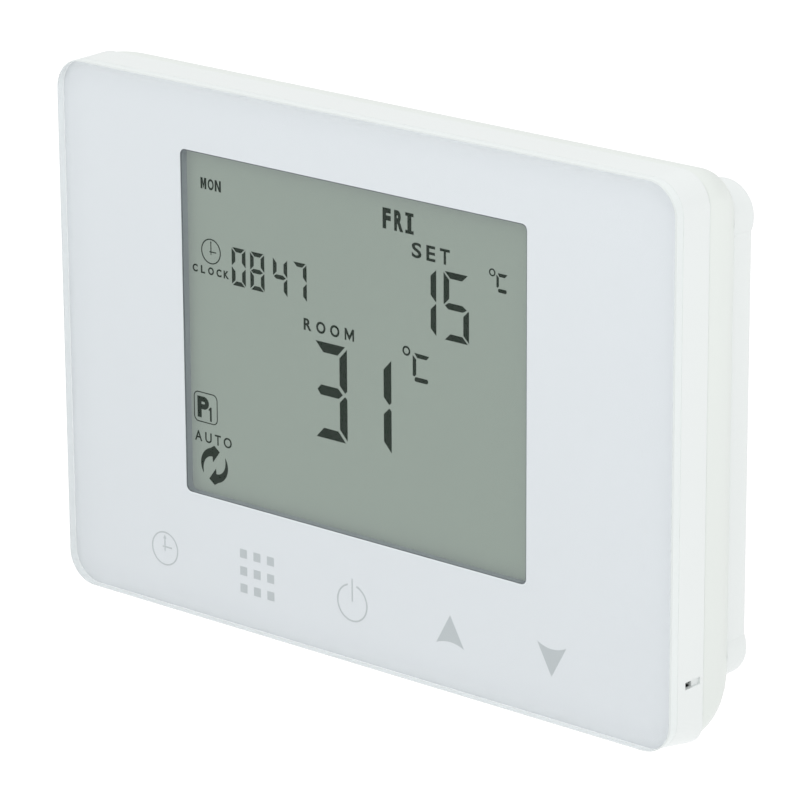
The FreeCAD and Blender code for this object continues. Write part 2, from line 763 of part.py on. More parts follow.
def contact_fingers():
    """Bent leaf springs that press on the main board's gold pads."""
    foot = POWER_FRONT - FINGER_T / 2
    tip = PCB_BACK + FINGER_PRELOAD_GAP + FINGER_T / 2
    path = ((24.0, foot), (27.0, foot), (27.8, foot - 0.5), (27.9, foot - 1.5),
            (26.3, tip + 1.0), (26.5, tip + 0.3), (27.1, tip), (27.7, tip + 0.3),
            (28.1, tip + 1.0))
    made = []
    for i in range(FINGER_COUNT):
        x = FINGER_X0 + FINGER_PITCH * i
        made.append(bent_strip(path, FINGER_T, x, x + FINGER_W))
    return group(made)


# ---------------------------------------------------------------- batteries

def battery_holder():
    """An open tray for two AAA cells, side by side, with scooped end and middle walls."""
    body = block(BAY_X0, BAY_X1, BAY_TOP, BOX_FLOOR, BAY_Z0, BAY_Z1)
    middle = sum(BATTERY_Z) / 2
    x0, x1 = BAY_X0 + BAY_WALL, BAY_X1 - BAY_WALL
    for z0, z1 in ((BAY_Z0 + BAY_WALL, middle - RIB_HALF), (middle + RIB_HALF, BAY_Z1 - BAY_WALL)):
        body = body.cut(block(x0, x1, BAY_TOP - 1, BAY_FLOOR, z0, z1))
    start = Vector((x0 + x1) / 2, y_at(SCOOP_DEPTH), BAY_Z0 - 1)
    scoop = Part.makeCylinder(SCOOP_R, BAY_Z1 - BAY_Z0 + 2, start, Vector(0, 0, 1))
    return body.cut(scoop)


def battery(z, flip):
    """One AAA cell along X; flip turns its positive end to the left."""
    y = y_at(BATTERY_DEPTH)
    body_x = BATTERY_X0 + (AAA_NUB if flip else 0)
    can = Part.makeCylinder(CELL_R, AAA_BODY, Vector(body_x, y, z), Vector(1, 0, 0))
    rims = [e for e in can.Edges if len(e.Vertexes) == 1]
    can = can.makeFillet(BATTERY_EDGE_R, rims)
    nub_x = BATTERY_X0 if flip else BATTERY_X0 + AAA_BODY
    nub = Part.makeCylinder(AAA_NUB_R, AAA_NUB, Vector(nub_x, y, z), Vector(1, 0, 0))
    return can.fuse(nub)


def battery_lower():
    return battery(BATTERY_Z[0], False)


def battery_upper():
    return battery(BATTERY_Z[1], True)


def battery_plates():
    """Flat nickel-plated contacts against the holder's two end walls."""
    made = []
    x_left = BAY_X0 + BAY_WALL
    x_right = BAY_X1 - BAY_WALL
    for z in BATTERY_Z:
        for x0 in (x_left, x_right - CONTACT_T):
            made.append(block(x0, x0 + CONTACT_T, BAY_TOP + 0.4, BAY_FLOOR - 0.2,
                              z - 4.0, z + 4.0))
    return group(made)


def battery_springs():
    """The negative end's spring of each cell, as the sleeve of room that its turns take."""
    gap = CONTACT_T + SPRING_GAP
    left = BAY_X0 + BAY_WALL + gap
    right = BAY_X1 - BAY_WALL - gap
    runs = ((left, BATTERY_X0 - SPRING_GAP, BATTERY_Z[0]),
            (BATTERY_X0 + AAA_NUB + AAA_BODY + SPRING_GAP, right, BATTERY_Z[1]))
    made = []
    for x0, x1, z in runs:
        base = Vector(x0, y_at(BATTERY_DEPTH), z)
        sleeve = Part.makeCylinder(SPRING_R + WIRE_R, x1 - x0, base, Vector(1, 0, 0))
        bore = Part.makeCylinder(SPRING_R - WIRE_R, x1 - x0, base, Vector(1, 0, 0))
        made.append(sleeve.cut(bore))
    return group(made)


NODES = (front_panel, printed_mask, front_frame, lcd_bezel, lcd_polariser, lcd_cell,
         lcd_reflector, light_guide, backlight_leds, zebra_strips, touch_pads, main_pcb,
         pcb_screws, controller_chip, clock_crystal, small_parts, room_sensor,
         latch_right, latch_left, rear_shell, back_box, case_screws, power_board,
         board_screws, terminal_block, terminal_cages, terminal_screws, relay, capacitor,
         contact_fingers, battery_holder, battery_lower, battery_upper, battery_plates,
         battery_springs)

os.makedirs("parts", exist_ok=True)
for build in NODES:
    shape = build()
    if not shape.isValid() or shape.Volume <= 0:
        raise ValueError("bad shape: " + build.__name__)
    shape.exportStep("parts/" + build.__name__ + ".step")
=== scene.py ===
import math

import bmesh
import bpy
from mathutils import Matrix, Vector


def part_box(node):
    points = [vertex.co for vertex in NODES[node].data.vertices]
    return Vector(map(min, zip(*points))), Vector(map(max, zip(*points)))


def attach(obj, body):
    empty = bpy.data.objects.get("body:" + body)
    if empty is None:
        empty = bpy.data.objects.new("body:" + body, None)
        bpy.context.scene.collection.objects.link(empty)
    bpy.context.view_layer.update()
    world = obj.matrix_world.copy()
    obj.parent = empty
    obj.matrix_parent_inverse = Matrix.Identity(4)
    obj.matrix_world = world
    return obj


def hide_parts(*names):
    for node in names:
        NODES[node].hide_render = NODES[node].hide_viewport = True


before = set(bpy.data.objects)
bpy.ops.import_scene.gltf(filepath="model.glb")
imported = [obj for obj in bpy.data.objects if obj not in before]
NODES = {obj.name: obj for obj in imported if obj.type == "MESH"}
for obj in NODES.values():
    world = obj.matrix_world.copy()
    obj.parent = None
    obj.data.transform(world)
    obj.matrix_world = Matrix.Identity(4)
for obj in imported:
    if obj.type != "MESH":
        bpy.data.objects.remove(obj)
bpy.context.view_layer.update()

# Looks of a wall-mounted heating programmer. Metres, in the CAD frame; lengths named in mm
# are multiplied by MM. The display faces -Y, +Z is up, +X is to the reader's right.
MM = 0.001
FRONT_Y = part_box("front_panel")[0].y
PANEL_LO, PANEL_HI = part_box("front_panel")
FRONT_UNIT = "front_unit"
BASE = "base"

# The window and the layers behind the front face, in mm. A pair of depths is a layer's front
# and back, measured from the front face.
WINDOW_CENTRE = (-1.72, 4.39)
WINDOW_SIZE = (67.8, 54.9)
WINDOW_CORNER = 1.0
# The painted highlight round the window: its width at the sides and at the foot, in mm.
HIGHLIGHT_W = 0.12
HIGHLIGHT_FOOT = 0.22
# The width in mm of the thin dark line of painted shade inside the window.
EDGE_SHADE_W = 0.16
GASKET_W = 0.8
PRINT_MARGIN = 0.02
ICON_DEPTHS = (1.505, 1.515)
PRINT_DEPTHS = (1.52, 1.69)
EDGE_SHADE_DEPTHS = (1.58, 1.66)
GASKET_DEPTHS = (1.7, 2.99)
GLYPH_DEPTHS = (2.972, 2.992)

# The display's drawing is scaled about its own origin and then moved by this many mm.
DISPLAY_X = 0.8
DISPLAY_Z = 0.39
DISPLAY_SCALE = 0.998

# The clear sheet's corner, and the bands near its rim and its top where a painted highlight
# brightens the print.
SHEET_CORNER = 5.1 * MM
RIM_BAND = 2.5 * MM
TOP_BAND = 3.0 * MM
HIGHLIGHT_LIFT = 0.14
SHEEN_IOR = 1.22
SIDE_COVER = 0.97


def y_at(depth_mm):
    """The Y of a plane at this depth behind the front face."""
    return FRONT_Y + depth_mm * MM


def srgb(r, g, b):
    """Linear colour of 0 to 255 display values."""
    out = []
    for v in (r, g, b):
        v /= 255.0
        out.append(v / 12.92 if v <= 0.04045 else ((v + 0.055) / 1.055) ** 2.4)
    return tuple(out) + (1.0,)


def scaled(colour, k):
    """The colour made darker or brighter, up to white."""
    return tuple(min(1.0, c * k) for c in colour[:3]) + (1.0,)


SHEET_SIDE = srgb(223, 228, 227)
SHEET_EDGE = srgb(206, 211, 210)
# the colour of the painted reflection of the print on the sheet's inner sides
PRINT_REFLECTION_TINT = srgb(226, 230, 231)


# ------------------------------------------------------------------ node helpers

class Tree:
    """A material's node tree, with short ways to add and join nodes."""

    def __init__(self, name):
        self.mat = bpy.data.materials.new(name)
        self.mat.use_nodes = True
        self.nodes = self.mat.node_tree.nodes
        self.links = self.mat.node_tree.links
        self.nodes.clear()
        self.out = self.nodes.new("ShaderNodeOutputMaterial")
        self.coord = self.nodes.new("ShaderNodeTexCoord")

    def add(self, kind, **settings):
        """A new node with its settings."""
        node = self.nodes.new(kind)
        for key, value in settings.items():
            setattr(node, key, value)
        return node

    def put(self, socket, value):
        """Joins an output to a socket, or sets the socket's own value."""
        if isinstance(value, bpy.types.NodeSocket):
            self.links.new(value, socket)
        else:
            socket.default_value = value

    def place(self, stretch=(1.0, 1.0, 1.0)):
        """Object coordinates, stretched."""
        if stretch == (1.0, 1.0, 1.0):
            return self.coord.outputs["Object"]
        node = self.add("ShaderNodeMapping")
        self.links.new(self.coord.outputs["Object"], node.inputs["Vector"])
        node.inputs["Scale"].default_value = stretch
        return node.outputs["Vector"]

    def noise(self, per_mm, detail=2.0, rough=0.5, stretch=(1.0, 1.0, 1.0)):
        """Noise with about this many features to the mm."""
        node = self.add("ShaderNodeTexNoise")
        self.links.new(self.place(stretch), node.inputs["Vector"])
        node.inputs["Scale"].default_value = per_mm / MM
        node.inputs["Detail"].default_value = detail
        node.inputs["Roughness"].default_value = rough
        return node.outputs["Fac"]

    def cells(self, per_mm):
        """A Voronoi node with about this many cells to the mm."""
        node = self.add("ShaderNodeTexVoronoi", feature="F1")
        self.links.new(self.place(), node.inputs["Vector"])
        node.inputs["Scale"].default_value = per_mm / MM
        return node

    def math(self, op, a, b=0.0):
        node = self.add("ShaderNodeMath", operation=op)
        self.put(node.inputs[0], a)
        self.put(node.inputs[1], b)
        return node.outputs[0]

    def remap(self, value, a, b, lo, hi, smooth=False):
        """Turns the range a to b into lo to hi, and clamps."""
        node = self.add("ShaderNodeMapRange", clamp=True)
        if smooth:
            node.interpolation_type = "SMOOTHSTEP"
        for key, v in (("Value", value), ("From Min", a), ("From Max", b), ("To Min", lo),
                       ("To Max", hi)):
            self.put(node.inputs[key], v)
        return node.outputs["Result"]

    def mix(self, fac, a, b):
        """A mix of two colours; a Mix node's colour sockets go by number."""
        node = self.add("ShaderNodeMix", data_type="RGBA", blend_type="MIX")
        for index, value in ((0, fac), (6, a), (7, b)):
            self.put(node.inputs[index], value)
        return node.outputs[2]

    def blend(self, fac, first, second):
        """A mix of two shaders."""
        node = self.add("ShaderNodeMixShader")
        for index, value in enumerate((fac, first.outputs[0], second.outputs[0])):
            self.put(node.inputs[index], value)
        return node

    def bump(self, height, distance_mm, normal=None):
        node = self.add("ShaderNodeBump")
        self.put(node.inputs["Height"], height)
        node.inputs["Strength"].default_value = 1.0
        node.inputs["Distance"].default_value = distance_mm * MM
        if normal is not None:
            self.links.new(normal, node.inputs["Normal"])
        return node.outputs["Normal"]

    def axis(self, letter_, source="Object"):
        """One coordinate of the place or of the normal."""
        node = self.add("ShaderNodeSeparateXYZ")
        self.links.new(self.coord.outputs[source], node.inputs[0])
        return node.outputs["XYZ".index(letter_)]

    def principled(self, **values):
        node = self.add("ShaderNodeBsdfPrincipled")
        for key, value in values.items():
            self.put(node.inputs[key.replace("_", " ")], value)
        return node

    def done(self, shader):
        self.links.new(shader.outputs[0], self.out.inputs["Surface"])
        return self.mat


def moulded(name, colour, rough, grain_mm=0.16, grain_depth=0.004, specular=0.4, mottle=0.02,
            wave=0.0, painted_shade=0.0):
    """Moulded plastic: a fine eroded grain, faint flow mottling and uneven gloss. Its last
    argument paints the lower part of the unit a little darker, as painted shade."""
    t = Tree(name)
    broad = t.noise(0.035, 3.0)
    fine = t.noise(1.0 / grain_mm, 3.0, 0.6)
    tint = t.mix(t.remap(broad, 0.3, 0.7, 0.0, 1.0), scaled(colour, 1.0 - mottle),
                 scaled(colour, 1.0 + mottle))
    speck = t.remap(t.noise(2.2, 2.0), 0.62, 0.8, 0.0, 0.35)
    tint = t.mix(speck, tint, scaled(colour, 1.0 - 1.6 * mottle))
    # painted shade: the colour darkens towards the bottom of the unit
    if painted_shade:
        tint = t.mix(t.remap(t.axis("Z"), PANEL_LO.z, PANEL_HI.z, painted_shade, 0.0), tint,
                     scaled(colour, 0.0))
    gloss = t.math("ADD", t.remap(broad, 0.2, 0.8, rough - 0.05, rough + 0.05),
                   t.remap(fine, 0.3, 0.7, -0.03, 0.03))
    normal = t.bump(fine, grain_depth)
    if wave:
        normal = t.bump(t.noise(0.05, 1.0), wave, normal)
    return t.done(t.principled(Base_Color=tint, Roughness=gloss, Specular_IOR_Level=specular,
                               Normal=normal))


def metal(name, colour, rough, stretch=(1.0, 1.0, 1.0), line_mm=0.08, depth=0.002):
    """Bare or plated metal: drawn or turned lines, smudges and slight dulling."""
    t = Tree(name)
    lines = t.noise(1.0 / line_mm, 2.0, 0.6, stretch)
    smudge = t.noise(0.3, 3.0)
    tint = t.mix(t.remap(smudge, 0.4, 0.75, 0.0, 0.6), colour, scaled(colour, 0.78))
    gloss = t.math("ADD", t.remap(lines, 0.3, 0.7, rough - 0.06, rough + 0.08),
                   t.remap(smudge, 0.4, 0.8, 0.0, 0.12))
    return t.done(t.principled(Base_Color=tint, Metallic=1.0, Roughness=gloss,
                               Normal=t.bump(lines, depth)))


# ------------------------------------------------------------------ materials

def rim_distance(t):
    """How far a point of the front face lies inside the sheet's rounded outline."""
    spans = []
    for letter_, length in (("X", PANEL_HI.x - PANEL_LO.x), ("Z", PANEL_HI.z - PANEL_LO.z)):
        out = t.math("SUBTRACT", t.math("ABSOLUTE", t.axis(letter_)), length / 2 - SHEET_CORNER)
        spans.append(t.math("MAXIMUM", out, 0.0))
    square = t.math("ADD", t.math("MULTIPLY", spans[0], spans[0]),
                    t.math("MULTIPLY", spans[1], spans[1]))
    return t.math("SUBTRACT", SHEET_CORNER, t.math("SQRT", square))


def clear_sheet(name):
    """Clear acrylic over the whole front. Its sawn sides are milky and its front edge is
    rounded; from within, the sides are painted in the print's colour, a painted reflection of the
    print with its painted shade and highlight, so the print seems to run on."""
    t = Tree(name)
    facing = t.math("ABSOLUTE", t.axis("Y", "Normal"))
    side = t.remap(facing, 0.90, 0.985, 1.0, 0.0, True)
    edge = t.remap(facing, 0.12, 0.45, 0.0, 1.0, True)
    smear = t.noise(0.05, 4.0, 0.6)
    hair = t.noise(3.0, 2.0, 0.5, (1.0, 1.0, 0.08))
    cloudy = t.remap(smear, 0.3, 0.7, 0.0, 1.0)
    inward = t.add("ShaderNodeNewGeometry").outputs["Backfacing"]

    clear = t.add("ShaderNodeBsdfTransparent")
    clear.inputs["Color"].default_value = (0.985, 0.993, 0.991, 1.0)
    gloss = t.add("ShaderNodeBsdfGlossy")
    gloss.inputs["Color"].default_value = (0.95, 0.97, 1.0, 1.0)
    t.put(gloss.inputs["Roughness"], t.math("ADD", t.remap(smear, 0.3, 0.7, 0.05, 0.13),
                                            t.remap(hair, 0.6, 0.8, 0.0, 0.06)))
    fresnel = t.add("ShaderNodeFresnel")
    fresnel.inputs["IOR"].default_value = SHEEN_IOR
    outward = t.math("SUBTRACT", 1.0, inward)
    sheen = t.blend(t.math("MULTIPLY", fresnel.outputs[0], outward), clear, gloss)

    sawn = t.mix(cloudy, SHEET_SIDE, scaled(SHEET_SIDE, 1.015))
    milky = t.principled(Base_Color=t.mix(edge, sawn, SHEET_EDGE), Specular_IOR_Level=0.3,
                         Roughness=t.remap(hair, 0.3, 0.7, 0.28, 0.4),
                         Normal=t.bump(hair, 0.002))
    # painted reflection: the inner sides take the print's colour, with painted shade and highlight
    printed = t.mix(cloudy, PRINT_REFLECTION_TINT, scaled(PRINT_REFLECTION_TINT, 1.012))
    painted_reflection = t.principled(Base_Color=painted_light_and_shade(t, printed, PRINT_REFLECTION_TINT, 0.055), Roughness=0.15,
                        Specular_IOR_Level=0.6)
    return t.done(t.blend(t.math("MULTIPLY", side, SIDE_COVER), sheen,
                          t.blend(inward, milky, painted_reflection)))


def painted_light_and_shade(t, tint, colour, painted_shade):
    """The tint with painted light: painted shade a little darker towards the bottom and the left,
    and a painted highlight in narrow bands along the sheet's rim and top."""
    # painted shade towards the bottom and the left, and painted highlight bands along the top and
    # rim
    drop = t.math("ADD", t.remap(t.axis("Z"), PANEL_LO.z, PANEL_HI.z, painted_shade, 0.0),
                  t.remap(t.axis("X"), PANEL_LO.x, PANEL_HI.x, 0.3 * painted_shade, 0.0))
    top = t.remap(t.axis("Z"), PANEL_HI.z - TOP_BAND, PANEL_HI.z, 0.0, HIGHLIGHT_LIFT, True)
    rim = t.remap(rim_distance(t), 0.0, RIM_BAND, HIGHLIGHT_LIFT, 0.0, True)
    shaded = t.mix(drop, tint, scaled(colour, 0.0))
    return t.mix(t.math("ADD", top, rim), shaded, scaled(colour, 2.0))


def print_ink(name, colour, variation=0.03, painted_shade=0.0):
    """Screen-printed ink: a soft mesh pattern and slight thin patches. With a shade amount it is
    the film's, with painted shade and painted highlight over the front, and the film's cut sides
    have the sheet's colour."""
    t = Tree(name)
    weave = t.math("MULTIPLY", t.noise(6.0, 1.0, 0.5, (1.0, 1.0, 0.2)),
                   t.noise(6.0, 1.0, 0.5, (0.2, 1.0, 1.0)))
    cloud = t.noise(0.08, 3.0)
    amount = t.math("ADD", t.remap(weave, 0.15, 0.35, 0.0, 0.5),
                    t.remap(cloud, 0.3, 0.7, 0.0, 0.5))
    tint = t.mix(amount, scaled(colour, 1.0 - variation), scaled(colour, 1.0 + variation))
    if painted_shade:
        # painted shade and painted highlight over the film's front
        tint = painted_light_and_shade(t, tint, colour, painted_shade)
        facing = t.math("ABSOLUTE", t.axis("Y", "Normal"))
        tint = t.mix(t.remap(facing, 0.3, 0.7, 1.0, 0.0), tint, SHEET_SIDE)
    return t.done(t.principled(Base_Color=tint, Roughness=t.remap(weave, 0.1, 0.4, 0.42, 0.55),
                               Specular_IOR_Level=0.15, Normal=t.bump(weave, 0.002)))


def lcd_surface(name):
    """The display's rear-lit grey-green polariser, with a few specks of dust. Its even cool glow
    stands for the backlight and is also painted light: it lightens the shade where the window's
    edge shades it and tints that shade blue-grey."""
    t = Tree(name)
    colour = srgb(100, 112, 98)
    broad = t.noise(0.03, 2.0)
    fine = t.noise(5.0, 2.0, 0.6)
    tint = t.mix(t.remap(broad, 0.3, 0.7, 0.0, 1.0), scaled(colour, 0.985),
                 scaled(colour, 1.015))
    tint = t.mix(t.remap(fine, 0.35, 0.7, 0.0, 0.3), tint, scaled(colour, 0.975))
    specks = t.cells(0.11)
    pick = t.add("ShaderNodeSeparateColor")
    t.links.new(specks.outputs["Color"], pick.inputs[0])
    chosen = t.remap(pick.outputs[0], 0.62, 0.64, 0.0, 1.0)
    dot = t.remap(specks.outputs["Distance"], 0.014, 0.03, 0.7, 0.0, True)
    tint = t.mix(t.math("MULTIPLY", dot, chosen), tint, srgb(205, 214, 208))
    # the emission is a painted glow: the backlight, and painted light in the window's shade
    return t.done(t.principled(Base_Color=tint, Roughness=t.remap(fine, 0.3, 0.7, 0.3, 0.4),
                               Specular_IOR_Level=0.12, Normal=t.bump(fine, 0.001),
                               Emission_Color=srgb(108, 110, 113), Emission_Strength=1.0))


# Each material's maker and what it gets. For print_ink: colour, variation, painted shade. For
# moulded: colour, roughness, grain and grain depth in mm, gloss, mottle, wave depth in mm, painted
# shade. For metal: colour, roughness, stretch, line width and line depth in mm.
LOOKS = {
    "clear_sheet": (clear_sheet,),
    # the last number is painted shade, with painted highlight bands, over the front
    "white_print": (print_ink, srgb(212, 214, 218), 0.006, 0.055),
    # the last number of the next three is painted shade towards the bottom
    "frame_white": (moulded, srgb(223, 227, 226), 0.36, 0.14, 0.003, 0.45, 0.008, 0.01, 0.01),
    "shell_white": (moulded, srgb(224, 229, 225), 0.42, 0.2, 0.006, 0.4, 0.01, 0.01, 0.05),
    "box_white": (moulded, srgb(224, 228, 227), 0.45, 0.2, 0.005, 0.35, 0.008, 0.01, 0.02),
    "lcd_surface": (lcd_surface,),
    # painted highlight along the window's sides and foot
    "rim_white": (print_ink, srgb(216, 219, 222), 0.01),
    "gasket_grey": (moulded, srgb(148, 154, 158), 0.6, 0.3, 0.004),
    # painted shade: the thin dark line inside the window's edge
    "keyline": (print_ink, srgb(98, 103, 108), 0.05),
    "icon_ink": (print_ink, srgb(176, 180, 183), 0.02),
    "segment_dark": (print_ink, (0.004, 0.013, 0.006, 1.0), 0.05),
    "reflector": (moulded, srgb(205, 209, 205), 0.3, 0.1, 0.002),
    "light_guide": (moulded, srgb(228, 232, 233), 0.15, 0.5, 0.004),
    "elastomer": (moulded, srgb(66, 66, 70), 0.6, 0.3, 0.01),
    "touch_foam": (moulded, srgb(44, 44, 46), 0.85, 0.25, 0.05),
    "screw_steel": (metal, (0.55, 0.56, 0.58, 1.0), 0.28),
    "spring_steel": (metal, (0.68, 0.68, 0.70, 1.0), 0.2),
    "crystal_can": (metal, (0.70, 0.70, 0.73, 1.0), 0.22, (0.1, 1.0, 1.0)),
    "chip_black": (moulded, srgb(38, 38, 40), 0.55, 0.12, 0.004),
    "chip_ceramic": (moulded, srgb(158, 134, 104), 0.6, 0.15, 0.003),
    "led_white": (moulded, srgb(236, 234, 206), 0.3, 0.3, 0.002),
    "sensor_epoxy": (moulded, srgb(40, 42, 46), 0.2, 0.6, 0.02),
    "terminal_plastic": (moulded, srgb(58, 122, 92), 0.45, 0.15, 0.004),
    "clamp_brass": (metal, (0.66, 0.47, 0.20, 1.0), 0.26),
    "relay_case": (moulded, srgb(226, 226, 220), 0.35, 0.2, 0.003),
    "capacitor_sleeve": (moulded, srgb(38, 42, 60), 0.25, 0.5, 0.006),
    "finger_gold": (metal, (0.83, 0.62, 0.25, 1.0), 0.18),
    "holder_black": (moulded, srgb(42, 42, 44), 0.48, 0.16, 0.006),
    "lcd_glass": (moulded, srgb(176, 188, 182), 0.12, 0.8, 0.001),
    "battery_jacket": (moulded, srgb(70, 78, 96), 0.2, 0.6, 0.002),
    "battery_band": (moulded, srgb(176, 178, 180), 0.2, 0.6, 0.002),
    "track_green": (moulded, srgb(46, 122, 78), 0.3, 0.3, 0.004),
    "solder": (metal, (0.62, 0.63, 0.64, 1.0), 0.3, (1.0, 1.0, 1.0), 0.2, 0.01),
    "board_green": (moulded, srgb(32, 96, 60), 0.35, 0.4, 0.006),
}
MATERIALS = {name: make(name, *looks) for name, (make, *looks) in LOOKS.items()}

BY_NODE = {
    "front_panel": "clear_sheet", "printed_mask": "white_print", "front_frame": "frame_white",
    "lcd_bezel": "frame_white", "lcd_polariser": "lcd_surface", "lcd_cell": "lcd_glass",
    "lcd_reflector": "reflector", "light_guide": "light_guide", "backlight_leds": "led_white",
    "zebra_strips": "elastomer", "touch_pads": "touch_foam", "main_pcb": "board_green",
    "pcb_screws": "screw_steel", "controller_chip": "chip_black", "clock_crystal": "crystal_can",
    "small_parts": "chip_ceramic", "room_sensor": "sensor_epoxy", "latch_right": "frame_white",
    "latch_left": "frame_white", "rear_shell": "shell_white", "back_box": "box_white",
    "case_screws": "screw_steel", "power_board": "board_green", "board_screws": "screw_steel",
    "terminal_block": "terminal_plastic", "terminal_cages": "clamp_brass",
    "terminal_screws": "screw_steel", "relay": "relay_case", "capacitor": "capacitor_sleeve",
    "contact_fingers": "finger_gold", "battery_holder": "holder_black",
    "battery_lower": "battery_jacket", "battery_upper": "battery_jacket",
    "battery_plates": "spring_steel", "battery_springs": "spring_steel",
}
for node_name, material_name in BY_NODE.items():
    mesh = NODES[node_name].data
    mesh.materials.clear()
    mesh.materials.append(MATERIALS[material_name])


# ------------------------------------------------------------------ flat shapes

def piece(name, mesh, material, body):
    """A finished mesh as a named piece that rides on a body."""
    obj = bpy.data.objects.new(name, mesh)
    bpy.context.scene.collection.objects.link(obj)
    mesh.materials.append(MATERIALS[material])
    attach(obj, body)
    return obj


def mesh_of(data, name):
    """The mesh that a curve or text makes."""
    obj = bpy.data.objects.new(name, data)
    bpy.context.scene.collection.objects.link(obj)
    graph = bpy.context.evaluated_depsgraph_get()
    mesh = bpy.data.meshes.new_from_object(obj.evaluated_get(graph))
    bpy.data.objects.remove(obj)
    return mesh


def upright(mesh, depth0, depth1):
    """Turns a flat mesh made in XY to lie in XZ, between two depths; its units are mm."""
    half = (depth1 - depth0) / 2
    for v in mesh.vertices:
        x, z, t = v.co
        side = -half if t > 0 else half
        v.co = Vector((x * MM, y_at((depth0 + depth1) / 2 + side), z * MM))
    return mesh


def filled(loops):
    """A thin mesh that fills closed loops of (x, z) in mm; a loop inside another is a hole."""
    curve = bpy.data.curves.new("loops", "CURVE")
    curve.dimensions = "2D"
    curve.fill_mode = "BOTH"
    curve.extrude = 0.5
    for loop in loops:
        spline = curve.splines.new("POLY")
        spline.points.add(len(loop) - 1)
        for p, (x, z) in zip(spline.points, loop):
            p.co = (x, z, 0.0, 1.0)
        spline.use_cyclic_u = True
    return mesh_of(curve, "loops")


def joined(meshes, name):
    """Several meshes as one."""
    bm = bmesh.new()
    for m in meshes:
        bm.from_mesh(m)
    bmesh.ops.remove_doubles(bm, verts=bm.verts, dist=1e-9)
    out = bpy.data.meshes.new(name)
    bm.to_mesh(out)
    bm.free()
    return out


def circle(x, z, r, start=0.0, end=360.0, count=64):
    """Points on an arc; a whole turn leaves its last point out."""
    full = abs(end - start - 360.0) < 1e-6
    steps = count if full else count + 1
    points = []
    for i in range(steps):
        a = math.radians(start + (end - start) * i / count)
        points.append((x + r * math.cos(a), z + r * math.sin(a)))
    return points


def ring(x, z, outer, stroke, count=72):
    """The two loops of a ring; outer is its outer radius."""
    return [circle(x, z, outer, count=count), circle(x, z, outer - stroke, count=count)[::-1]]


def open_ring(x, z, outer, stroke, start, end):
    """The loop of a ring with a gap, from one angle to the other."""
    return [circle(x, z, outer, start, end) + circle(x, z, outer - stroke, end, start)]


def bar(x0, x1, z0, z1):
    """A plain rectangle."""
    return [(x0, z0), (x1, z0), (x1, z1), (x0, z1)]


def rounded(x0, x1, z0, z1, r, count=8):
    """A rectangle with rounded corners, from its upper right corner anticlockwise."""
    loop = []
    for cx, cz, a in ((x1 - r, z1 - r, 0), (x0 + r, z1 - r, 90), (x0 + r, z0 + r, 180),
                      (x1 - r, z0 + r, 270)):
        loop += circle(cx, cz, r, a, a + 90, count)
    return loop


def letter(char, x0, x1, z0, z1, weight):
    """One letter fitted to a box; weight thickens its strokes."""
    text = bpy.data.curves.new("letter", "FONT")
    text.body = char
    text.extrude = 0.5
    text.offset = weight
    text.resolution_u = 4
    mesh = mesh_of(text, "letter")
    xs = [v.co.x for v in mesh.vertices]
    ys = [v.co.y for v in mesh.vertices]
    kx = (x1 - x0) / (max(xs) - min(xs))
    kz = (z1 - z0) / (max(ys) - min(ys))
    for v in mesh.vertices:
        v.co.x = x0 + (v.co.x - min(xs)) * kx
        v.co.y = z0 + (v.co.y - min(ys)) * kz
    return mesh


def letter_m(x0, x1, z0, z1, t):
    """An M of upright stems and a middle that reaches the foot; t is the stroke width."""
    h, c = z1 - z0, (x0 + x1) / 2
    return filled([[(x0, z0), (x0 + t, z0), (x0 + t, z1 - 0.42 * h), (c, z0 + 0.02 * h),
                    (x1 - t, z1 - 0.42 * h), (x1 - t, z0), (x1, z0), (x1, z1), (x1 - 1.15 * t, z1),
                    (c, z0 + 0.42 * h), (x0 + 1.15 * t, z1), (x0, z1)]])


def letter_n(x0, x1, z0, z1, t):
    """An N of two stems and a slanted stroke between them."""
    h = z1 - z0
    return filled([[(x0, z0), (x0 + t, z0), (x0 + t, z1 - 0.34 * h), (x1 - 1.1 * t, z0), (x1, z0),
                    (x1, z1), (x1 - t, z1), (x1 - t, z0 + 0.34 * h), (x0 + 1.1 * t, z1), (x0, z1)]])


def letter_p(x0, x1, z0, z1, t):
    """A P with a round bowl over the upper part of its height."""
    zb = z0 + 0.4 * (z1 - z0)
    r = (z1 - zb) / 2
    outer = [(x0, z0), (x0 + t, z0), (x0 + t, zb)] + circle(x1 - r, zb + r, r, -90, 90, 16)
    hole = circle(x1 - r, zb + r, r - t, -90, 90, 16) + [(x0 + t, z1 - t), (x0 + t, zb + t)]
    return filled([outer + [(x0, z1)], hole[::-1]])


OWN_LETTERS = {"M": letter_m, "N": letter_n, "P": letter_p}


def word(chars, z0, z1, weight, stem=0.2):
    """Letters in a row; stem is the stroke width in mm of the letters drawn here."""
    made = []
    for c, x0, x1 in chars:
        if c in OWN_LETTERS:
            made.append(OWN_LETTERS[c](x0, x1, z0, z1, stem))
        else:
            made.append(letter(c, x0, x1, z0, z1, weight))
    return joined(made, "word")


def glyph(name, mesh):
    """A display segment or legend, laid out about the display's own origin."""
    for v in mesh.vertices:
        v.co.x = v.co.x * DISPLAY_SCALE + DISPLAY_X
        v.co.y = v.co.y * DISPLAY_SCALE + DISPLAY_Z
    return piece(name, upright(mesh, *GLYPH_DEPTHS), "segment_dark", FRONT_UNIT)


def icon(name, mesh):
    """A key's symbol, printed in front of the film."""
    return piece(name, upright(mesh, *ICON_DEPTHS), "icon_ink", FRONT_UNIT)


# ------------------------------------------------------------------ display content

# Places and sizes in these drawings are x and z in mm, seen on the front face. A digit's
# segments are lettered clockwise from a at the top to f, and g is in the middle.
SEGMENTS = {"0": "abcdef", "1": "bc", "3": "abcdg", "4": "bcfg", "5": "acdfg", "7": "abc",
            "8": "abcdefg"}


